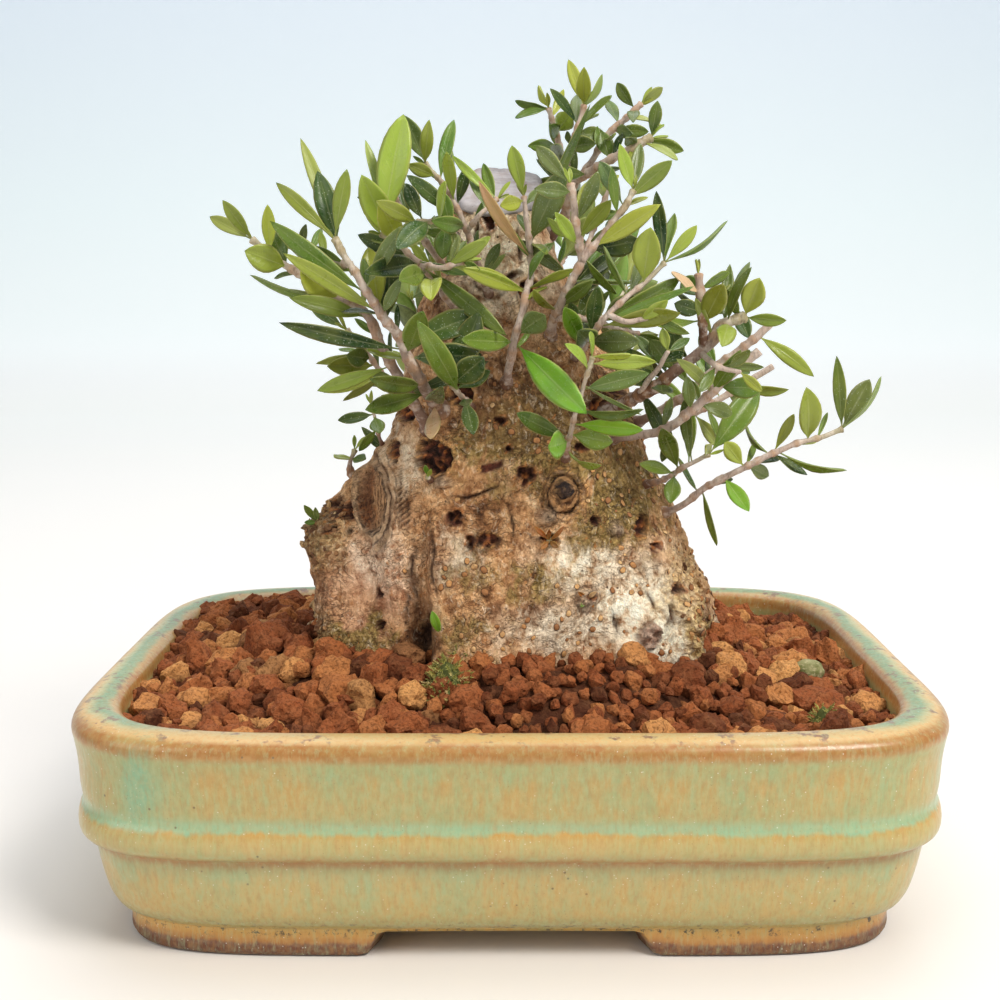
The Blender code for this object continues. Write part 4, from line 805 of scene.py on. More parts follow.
def bark():
    """Skin of the trunk: pinkish tan, cream and olive in small mottles, with cork, painted marks and painted
    shade.
    """
    f = Finish("olive_bark", 0.82)
    cream, olive, lilac = f.read("cream"), f.read("olive"), f.read("lilac")
    shade, cork = f.read("painted_shade"), f.read("cork")
    broad = f.grain(95, 4.0, 0.6)
    mottle = f.grain(430, 5.0, 0.62, distort=0.4)
    fleck = f.grain(1100, 4.0, 0.6)
    fibres = f.streaks((900, 900, 190), 3.0, 0.55)
    base = f.ramp(f.level(f.plus(mottle, f.level(broad, 0.3, 0.7, -0.16, 0.16)), 0.22, 0.8), [
        (0.0, (0.11, 0.04, 0.014)), (0.24, (0.3, 0.13, 0.048)), (0.46, (0.54, 0.28, 0.12)),
        (0.68, (0.73, 0.425, 0.205)), (1.0, (0.92, 0.64, 0.37)),
    ])
    pale = f.mix(f.level(mottle, 0.33, 0.58), (0.98, 0.76, 0.48), (1.0, 0.97, 0.79))
    dusky = f.mix(f.level(mottle, 0.35, 0.65), (0.4, 0.18, 0.095), (0.96, 0.59, 0.365))
    green = f.mix(f.level(fleck, 0.38, 0.62), (0.14, 0.088, 0.02), (0.42, 0.28, 0.095))
    deep = f.mix(f.level(mottle, 0.35, 0.68), (0.05, 0.02, 0.01), (0.23, 0.105, 0.04))
    corky = f.mix(f.level(fleck, 0.38, 0.64), (0.3, 0.15, 0.045), (0.92, 0.68, 0.32))
    colour = f.mix(lilac, base, dusky)
    colour = f.mix(f.times(cream, f.level(mottle, 0.3, 0.5)), colour, pale)
    patchy = f.streaks((330, 330, 210), 5.0, 0.68, 0.6)
    speckle = f.level(f.plus(f.times(olive, 0.42), patchy), 0.56, 0.72)
    colour = f.mix(f.times(speckle, f.level(olive, 0.0, 0.5, 0.25, 1.0)), colour, green)
    colour = f.mix(f.times(cork, f.level(broad, 0.35, 0.55, 0.5, 1.0)), colour, corky)
    # Painted shade: under the leaves, in the crevice, on the left flank and just above the soil, the bark
    # darkens to deep brown.
    colour = f.mix(f.times(shade, f.level(mottle, 0.7, 0.4, 0.45, 1.0)), colour, deep)
    pits = f.level(f.cells(520), 0.13, 0.07)
    pits = f.times(pits, f.level(f.grain(150, 2.0), 0.48, 0.56))
    colour = f.mix(f.times(pits, 0.8), colour, (0.075, 0.033, 0.018))
    colour = f.mix(f.level(fibres, 0.58, 0.74, 0.0, 0.5), colour, f.mix(0.65, colour, (0.11, 0.06, 0.03)))
    # Fine cracks between scales of bark, pale dust and rusty flecks.
    shake = f.node("ShaderNodeTexNoise", out=1, Vector=f.place, Scale=330.0)
    wavy = f.node("ShaderNodeMixRGB", i0=0.01, i1=f.place, i2=shake)
    seams = f.level(f.cells(1.0, "DISTANCE_TO_EDGE", f.stretch((560, 560, 330), wavy)), 0.055, 0.0)
    seams = f.times(seams, f.level(f.grain(120, 3.0), 0.46, 0.6))
    seams = f.times(seams, f.level(cream, 0.0, 1.0, 1.0, 0.25))
    colour = f.mix(f.times(seams, 0.35), colour, f.mix(0.85, colour, (0.08, 0.034, 0.016)))
    wrinkles = f.streaks((200, 200, 270), 3.0, 0.5, 1.2)
    wrinkles = f.level(f.maths("ABSOLUTE", f.minus(wrinkles, 0.5)), 0.018, 0.0)
    wrinkles = f.times(wrinkles, f.level(f.grain(85, 2.0), 0.44, 0.56))
    wrinkles = f.times(wrinkles, f.level(cream, 0.0, 1.0, 0.36, 0.1))
    colour = f.mix(wrinkles, colour, f.mix(0.85, colour, (0.06, 0.026, 0.012)))
    dust = f.streaks((760, 760, 520), 5.0, 0.72, 0.8)
    colour = f.mix(f.level(dust, 0.55, 0.68, 0.0, 0.65), colour, f.mix(0.7, colour, (1.0, 0.82, 0.6)))
    brown = f.times(f.level(dust, 0.45, 0.32, 0.0, 0.85), f.level(cream, 0.0, 1.0, 1.0, 0.35))
    colour = f.mix(brown, colour, f.mix(0.8, colour, (0.17, 0.066, 0.024)))
    crisp = f.level(f.grain(1500, 5.0, 0.75), 0.34, 0.66, 0.68, 1.56)
    calm = f.level(f.grain(130, 3.0, 0.6), 0.42, 0.58, 0.3, 1.0)
    crisp = f.plus(f.times(f.minus(crisp, 1.03), calm), 1.03)
    crisp = f.node("ShaderNodeCombineXYZ", X=crisp, Y=f.maths("POWER", crisp, 1.15),
                   Z=f.maths("POWER", crisp, 1.35))
    colour = f.mix(1.0, colour, crisp, "MULTIPLY")
    rusty = f.times(f.level(f.grain(800, 3.0, 0.6), 0.6, 0.66), f.level(broad, 0.44, 0.56))
    colour = f.mix(f.times(rusty, 0.7), colour, (0.5, 0.2, 0.055))
    crumbs = f.level(f.grain(900, 4.0, 0.7), 0.36, 0.64, 0.45, 1.75)
    crumbs = f.node("ShaderNodeCombineXYZ", X=crumbs, Y=crumbs, Z=crumbs)
    paint = f.mix(1.0, f.read("paint", 0), crumbs, "MULTIPLY")
    colour = f.mix(f.read("paint", 3), colour, (0.0, 0.0, 0.0))
    colour = draw_cuts(f, f.mix(1.0, colour, paint, "ADD"))
    height = f.plus(f.plus(f.times(mottle, 0.8), f.times(fleck, 0.35)),
                    f.times(fibres, 0.45))
    height = f.minus(height, f.times(pits, 0.5))
    height = f.plus(f.minus(height, f.plus(f.times(seams, 0.5), wrinkles)), f.times(dust, 0.6))
    height = f.plus(height, f.times(cork, f.level(f.cells(420), 0.0, 0.6, 0.0, 1.4)))
    f.shader.inputs["Specular IOR Level"].default_value = 0.3
    return f.finish(Base_Color=colour, Normal=f.relief(height, 1.0, 1.25))


def lump(point, across, along):
    """A smooth roughness by chance, with its fineness across and along the trunk."""
    return noise.noise((point[0] * across, point[1] * across, point[2] * along))


def bell(value, middle, half):
    return np.exp(-((value - middle) / half) ** 2)


def within(value, edge, fade):
    """1 where a value is under an edge, fading to 0 just before it."""
    return np.clip((edge - value) / fade, 0, 1)


def carve(kind, r, across, up, rag):
    """Push of one mark and its colours, as (colour, opacity), for distances r from its middle."""
    r = r + rag * (0.05 if kind in ("healed", "beak", "ringed") else 0.22)
    inside = within(r, 0.95, 0.18)
    rim = bell(r, 1.04, 0.16)
    edge = ((0.085, 0.04, 0.022), bell(r, 0.93, 0.07) * 0.75)
    if kind == "scar":
        return (-0.9 + 1.3 * rag) * inside + 0.7 * rim, [
            (DARK_RED, inside * 0.95), (BLACK_BROWN, inside * np.clip(0.25 - rag * 4, 0, 1)),
            (RUST, inside * np.clip(rag * 5 - 1.0, 0, 1) * 0.8), edge,
            (AMBER, rim * np.clip(rag * 4, 0, 0.7))]
    if kind == "healed":
        grain = np.cos((across + 0.12 * up * up) * 10.0 + rag * 2)
        left = inside * within(across, 0.12, 0.2)
        streak = inside * np.exp(-((across + 0.08 + 0.12 * up) / 0.16) ** 2)
        streak = streak * within(np.abs(up), 0.75, 0.2)
        ridge = bell(r, 1.52, 0.18) * np.clip(across * 3, 0, 1)
        return -0.5 * inside + 0.9 * rim + 0.2 * grain * inside - 0.4 * left + 0.8 * ridge, [
            ((0.56, 0.33, 0.17), inside * 0.9), ((0.2, 0.08, 0.036), left * 0.85),
            ((0.11, 0.055, 0.03), inside * np.clip(-grain * 2 - 0.4, 0, 1) * 0.6), (RUST, streak * 0.8),
            (TAN, rim * 0.7),
            ((0.11, 0.055, 0.03), bell(r, 1.3, 0.15) * np.clip(across * 3, 0, 1) * 0.95)]
    if kind == "hole":
        r = r + rag * 0.45
        core = within(r, 0.85, 0.3)
        return -1.6 * core + 0.35 * rim, [
            ((0.06, 0.02, 0.011), within(r, 0.98, 0.2)), (RUST, core * np.clip(rag * 4 - 0.6, 0, 0.7)),
            (DARK_RED, rim * 0.5), (RUST, rim * np.clip(rag * 5, 0, 0.7))]
    if kind == "nub":
        knob = np.exp(-(r * 1.05) ** 4)
        return 1.9 * knob, [
            ((0.43, 0.315, 0.215), knob * 0.85), ((0.1, 0.05, 0.03), knob * np.clip(rag * 4, 0, 0.8)),
            ((0.08, 0.04, 0.022), bell(r, 1.22, 0.14) * 0.6)]
    if kind == "beak":
        dome = within(np.hypot(across / 0.5, (up - 0.4) / 0.42), 1.0, 0.25)
        far = np.hypot(across, (up - 0.45) * 0.8)
        bands = np.cos(far * 15.0 + rag)
        below = inside * (up < 0.35) * (1 - dome)
        swirl = bell(r, 1.22, 0.22) * np.cos(r * 24.0 + rag * 5)
        push = 1.5 * dome + inside - bell(r, 1.02, 0.1) + 0.3 * bands * below + 0.25 * swirl
        return push, [
            ((0.64, 0.33, 0.13), below * np.clip(bands * 1.5 + 0.5, 0, 1)),
            ((0.04, 0.028, 0.026), dome), (AMBER, np.clip(swirl * 1.6, 0, 0.55)),
            ((0.15, 0.075, 0.04), np.clip(-swirl * 1.6, 0, 0.65))]
    if kind == "ringed":
        fade = within(r, 1.25, 0.35)
        waves = np.cos(r * 17.0 + rag * 3)
        return 0.25 * waves * fade, [((0.085, 0.04, 0.02), fade * np.clip(-waves, 0, 1) * 0.6)]
    if kind == "flake":
        return 0.9 * inside * (1 + rag * 3) + 0.2 * rim, [
            ((0.23, 0.12, 0.085), inside * 0.85), ((0.52, 0.36, 0.27), inside * np.clip(rag * 6, 0, 0.8)),
            edge]
    if kind == "chip":
        flat = within(np.maximum(np.abs(across), np.abs(up)), 1.0, 0.15)
        return -0.6 * flat, [(DARK_RED, flat), (AMBER, flat * (across < -0.55)), (TAN, rim * 0.4)]
    line = np.exp(-(r * 1.1) ** 2)
    return -1.2 * line + 0.45 * rim, [((0.06, 0.028, 0.015), np.clip(line * 1.4 - 0.15, 0, 1))]


def make_trunk():
    points, outs = [], []
    heights = list(np.linspace(TRUNK_FOOT, 40.0, TRUNK_BURIED_RINGS, endpoint=False))
    heights += list(np.linspace(40.0, TRUNK_TOP, TRUNK_OPEN_RINGS))
    for height in heights:
        ring, out = trunk_ring(height, TRUNK_SEGMENTS, 0.4)
        points.append(ring)
        outs.append(out)
    points, outs = np.concatenate(points), np.concatenate(outs)
    x, y, z = points.T.copy()
    front = np.clip((4.0 - y) / 5.0, 0.0, 1.0)
    tint = {kind: np.zeros(len(x)) for kind in BARK_TINTS}
    noise.seed_set(WAVER_SEED)
    waver = np.array([noise.noise_vector((a * 0.21, b * 0.21, c * 0.21)) for a, b, c in points])
    rag = np.array([lump(point, 0.95, 0.95) for point in points])
    for kind, rows in BARK_TINTS.items():
        for mx, mz, wide, tall, strength in rows:
            r2 = ((x + waver[:, 0] * 4 - mx) / wide) ** 2 + ((z + waver[:, 2] * 4 - mz) / tall) ** 2
            tint[kind] = np.maximum(tint[kind], strength * np.exp(-r2 ** 1.5) * front)
    # The unseen back is given the same kinds of bark.
    patches = np.array([lump(point, 0.05, 0.06) for point in points])
    behind = 1 - front
    tint["cream"] = np.maximum(tint["cream"], behind * np.clip(patches * 2.0, 0, 0.6))
    tint["olive"] = np.maximum(tint["olive"], behind * np.clip(-patches * 2.0, 0, 0.5))
    tint["cork"] = np.maximum(tint["cork"], behind * np.clip((58 - z) / 20, 0, 0.8))
    # Painted shade: the bark darkens just above the soil, all round.
    tint["shade"] = np.maximum(tint["shade"], np.clip((44.5 - z) / 3.0, 0, 0.8))
    push = np.zeros(len(x))
    grip = 1 - 0.9 * np.clip((z - 124) / 6, 0, 1)
    for k, point in enumerate(points):
        lumps = lump(point, 0.11, 0.045) * 1.1 + lump(point, 0.3, 0.2) * 0.65
        lumps += lump(point, 0.75, 0.45) * 0.34 + lump(point, 1.9, 1.2) * 0.16
        if tint["cork"][k] > 0.05:
            crag = noise.turbulence(point * 0.42, 4, True, noise_basis="PERLIN_ORIGINAL")
            lumps += tint["cork"][k] * (crag - 0.45) * 3.0
        push[k] = lumps * grip[k]
    paint = np.zeros((len(x), 4))
    for number, (kind, mx, mz, wide, tall, turn) in enumerate(BARK_MARKS + BACK_MARKS):
        a = math.radians(turn)
        dx, dz = x + waver[:, 0] * 0.8 - mx, z + waver[:, 1] * 0.8 - mz
        across = (dx * math.cos(a) + dz * math.sin(a)) / wide
        up = (dz * math.cos(a) - dx * math.sin(a)) / tall
        r = np.sqrt(across ** 2 + up ** 2) + waver[:, 2] * 0.18
        toward = -1 if number < len(BARK_MARKS) else 1
        near = (r < 2.2) * np.clip((outs[:, 1] * toward - 0.08) / 0.25, 0, 1) * ((y - 2.0) * toward > 0)
        out, colours = carve(kind, r, across, up, rag)
        push += near * out * min(1.0, 0.35 + wide * 0.35)
        for colour, opacity in colours:
            opacity = (near * np.clip(opacity, 0, 1))[:, None]
            paint[:, :3] = paint[:, :3] * (1 - opacity) + np.array(colour) * opacity
            paint[:, 3:] = paint[:, 3:] * (1 - opacity) + opacity
    points[:, 0] += outs[:, 0] * push
    points[:, 1] += outs[:, 1] * push
    trunk = new_piece("trunk", points, ring_faces(len(heights), TRUNK_SEGMENTS), bark())
    for kind, values in tint.items():
        add_numbers(trunk, {"shade": "painted_shade"}.get(kind, kind), values)
    add_numbers(trunk, "paint", paint, "FLOAT_COLOR")
    away = np.min([np.hypot((x - mx) / (wide + 1), (z - mz) / (tall + 1))
                   for _, mx, mz, wide, tall, _ in BARK_MARKS + BACK_MARKS], axis=0)
    room = np.where((z > 45) & (z < 104) & (away > 1.0), 1.0, 0.0)
    crowd = np.clip(0.45 + x / 45 + patches * 1.3, 0.1, 1.0)
    add_numbers(trunk, "dot_ground", room * crowd * (1 - 0.7 * tint["lilac"]))
    corky = (tint["cork"] > 0.45) & (z > 43)
    add_numbers(trunk, "cork_ground", np.where(corky, np.where(x > 0, 0.12, 0.8), 0.0))
    return trunk


trunk = make_trunk()
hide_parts("trunk")
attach(trunk, "root")

# Corky dots and flakes. Young olive bark is dotted with raised orange pores, and its corky flanks
# shed small crusts. Geometry Nodes set both on the bark, facing outwards.
BIT_SHAPES = 4
PER_SQUARE_METRE = 1000000.0
PORES = {"Spacing": 1.3, "Density": 0.16, "Smallest": 0.24, "Largest": 0.64, "Tilt": 0.25, "Seed": 5}
CRUSTS = {"Spacing": 1.1, "Density": 0.5, "Smallest": 0.4, "Largest": 1.0, "Tilt": 1.1, "Seed": 6}


def pore_cork():
    f = Finish("pore_cork", 0.8)
    rim, shade = f.read("rim"), f.read("shade")
    colour = f.ramp(shade, [(0.0, (0.24, 0.095, 0.032)), (0.4, (0.43, 0.195, 0.062)),
                            (0.75, (0.6, 0.32, 0.115)), (1.0, (0.72, 0.48, 0.23))])
    colour = f.mix(f.level(f.grain(1800, 3.0), 0.42, 0.62, 0.0, 0.5), colour, (0.23, 0.1, 0.04))
    # The pore's foot darkens almost to black: partly its own dark rim, partly painted shade where it meets
    # the bark.
    colour = f.mix(f.level(rim, 0.25, 0.8, 0.0, 0.95), colour, (0.07, 0.03, 0.015))
    return f.finish(Base_Color=colour, Normal=f.relief(f.grain(1600, 4.0), 0.6, 0.2))


def crust_cork():
    f = Finish("crust_cork", 0.9)
    shade = f.read("shade")
    colour = f.ramp(shade, [(0.0, (0.1, 0.042, 0.018)), (0.4, (0.26, 0.13, 0.055)),
                            (0.75, (0.46, 0.28, 0.12)), (1.0, (0.68, 0.5, 0.26))])
    colour = f.mix(f.level(f.grain(1300, 4.0), 0.5, 0.36, 0.0, 0.6), colour, (0.14, 0.07, 0.03))
    return f.finish(Base_Color=colour, Normal=f.relief(f.grain(1100, 5.0, 0.65), 0.8, 0.4))


def make_bit(name, number, finish, crust):
    """A raised pore with a dimple, or a broken crust of cork, about one millimetre across."""
    shape = bmesh.new()
    bmesh.ops.create_icosphere(shape, subdivisions=2, radius=1.0)
    rims = []
    for vert in shape.verts:
        co = vert.co.copy()
        rough = noise.noise(co * 1.9 + Vector((number * 5.1, 0, crust))) * (0.55 if crust else 0.22)
        flat = math.hypot(co.x, co.y)
        # Low points mark the pore's dark foot, its rim and painted shade under it, widened below into a
        # skirt.
        rims.append(1.0 if co.z < 0.4 else 0.0)
        dip = 0.0 if crust else 0.35 * math.exp(-(flat / 0.35) ** 2) * (co.z > 0)
        if not crust and -0.35 < co.z < 0.25:
            co.x, co.y, co.z = co.x * 1.35, co.y * 1.35, 0.24
        tall = (0.35 if crust else 0.75) + rough
        vert.co = Vector((co.x * (1 + rough), co.y * (0.8 + rough), co.z * tall - dip)) * MM
    mesh = bpy.data.meshes.new(name)
    shape.to_mesh(mesh)
    shape.free()
    mesh.polygons.foreach_set("use_smooth", [not crust] * len(mesh.polygons))
    mesh.materials.append(finish)
    bit = bpy.data.objects.new(name, mesh)
    add_numbers(bit, "rim", rims)
    return bit


def bit_tree(name, ground):
    """Bits on one kind of bark: spaced, turned to face out, sized and shaded by chance."""
    t = NodeTree(name, {"Density": "Float", "Tilt": "Float"})
    given = t.given
    size = t.chance("FLOAT", given["Smallest"], given["Largest"], given["Seed"])
    density = t.times(given["Density"], PER_SQUARE_METRE)
    laid = t.scatter(ground, density, t.chance("INT", 0, BIT_SHAPES - 1, 21), size)
    tilt = t.node("ShaderNodeCombineXYZ", sockets={0: given["Tilt"], 1: given["Tilt"], 2: 3.14})
    back = t.node("ShaderNodeVectorMath", settings={"operation": "SCALE"},
                  sockets={0: tilt, "Scale": -1.0})
    laid = t.node("GeometryNodeRotateInstances",
                  sockets={"Instances": laid, "Rotation": t.chance("FLOAT_VECTOR", back, tilt, 22)})
    return t.close(laid, 1.0, 23)


for kind, finish, crust, ground, values in (("bark_pores", pore_cork(), 0, "dot_ground", PORES),
                                            ("bark_crusts", crust_cork(), 1, "cork_ground", CRUSTS)):
    bits = [make_bit(f"{kind}_shape_{number}", number, finish, crust) for number in range(BIT_SHAPES)]
    piece = grow_from(trunk, kind, bit_tree("set_" + kind, ground), bits, finish, values)
    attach(piece, "root")

# Wound seal. The sawn top of the trunk is coated with grey cut paste, put on with a spatula: a thin
# skin with a ragged lip over the edge of the cut, knife strokes and some dust on it.
SEAL_POINTS = 120
SEAL_SECTION = [(0.9, 0.32), (0.985, 0.34), (1.03, 0.1), (1.045, -0.35), (1.05, 0.25), (1.035, 0.85),
                (0.995, 1.2)]


def cut_paste():
    f = Finish("cut_paste", 0.62)
    strokes = f.streaks((260, 900, 260), 4.0, 0.6)
    dust = f.grain(520, 5.0, 0.65)
    colour = f.mix(f.level(dust, 0.35, 0.65), (0.3, 0.275, 0.285), (0.4, 0.37, 0.38))
    colour = f.mix(f.level(f.grain(190, 3.0), 0.55, 0.7, 0.0, 0.55), colour, (0.26, 0.17, 0.12))
    colour = f.mix(f.level(f.cells(1500), 0.16, 0.08, 0.0, 0.5), colour, (0.15, 0.09, 0.06))
    return f.finish(Base_Color=colour, Roughness=f.level(strokes, 0.3, 0.7, 0.5, 0.75),
                    Normal=f.relief(f.plus(strokes, f.times(dust, 0.5)), 0.6, 0.35))


def make_seal():
    edge, _ = trunk_ring(TRUNK_TOP, SEAL_POINTS)
    middle = edge.mean(axis=0)
    rows = SEAL_SECTION + [(share, 1.25 + 0.25 * (1 - share)) for share in np.linspace(0.94, 0.04, 22)]
    rings = []
    for share, lift in rows:
        ring = middle + (edge - middle) * [share, share, share] + [0.0, 0.0, lift]
        for point in ring:
            x, y = point[:2]
            ragged = noise.noise((x * 0.55, y * 0.55, 4.0)) * 0.6 * smoothstep(0.9, 1.0, share)
            point[:2] += (point[:2] - middle[:2]) * ragged / 9.0
            drip = noise.noise((x * 0.4, y * 0.4, 9.0)) * 0.7 * (1.0 if lift < 0.2 else 0.0)
            stroke = noise.noise((x * 0.2 + y * 0.1, y * 0.9, 1.0)) * 0.3
            stroke += noise.noise((x * 0.9, y * 0.5, 2.0)) * 0.14
            point[2] += drip + (stroke if lift > 1.0 else 0.0)
        rings.append(ring)
    seal = new_piece("wound_seal", np.concatenate(rings), ring_faces(len(rings), SEAL_POINTS),
                     cut_paste())
    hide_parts("wound_seal")
    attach(seal, "root")


make_seal()

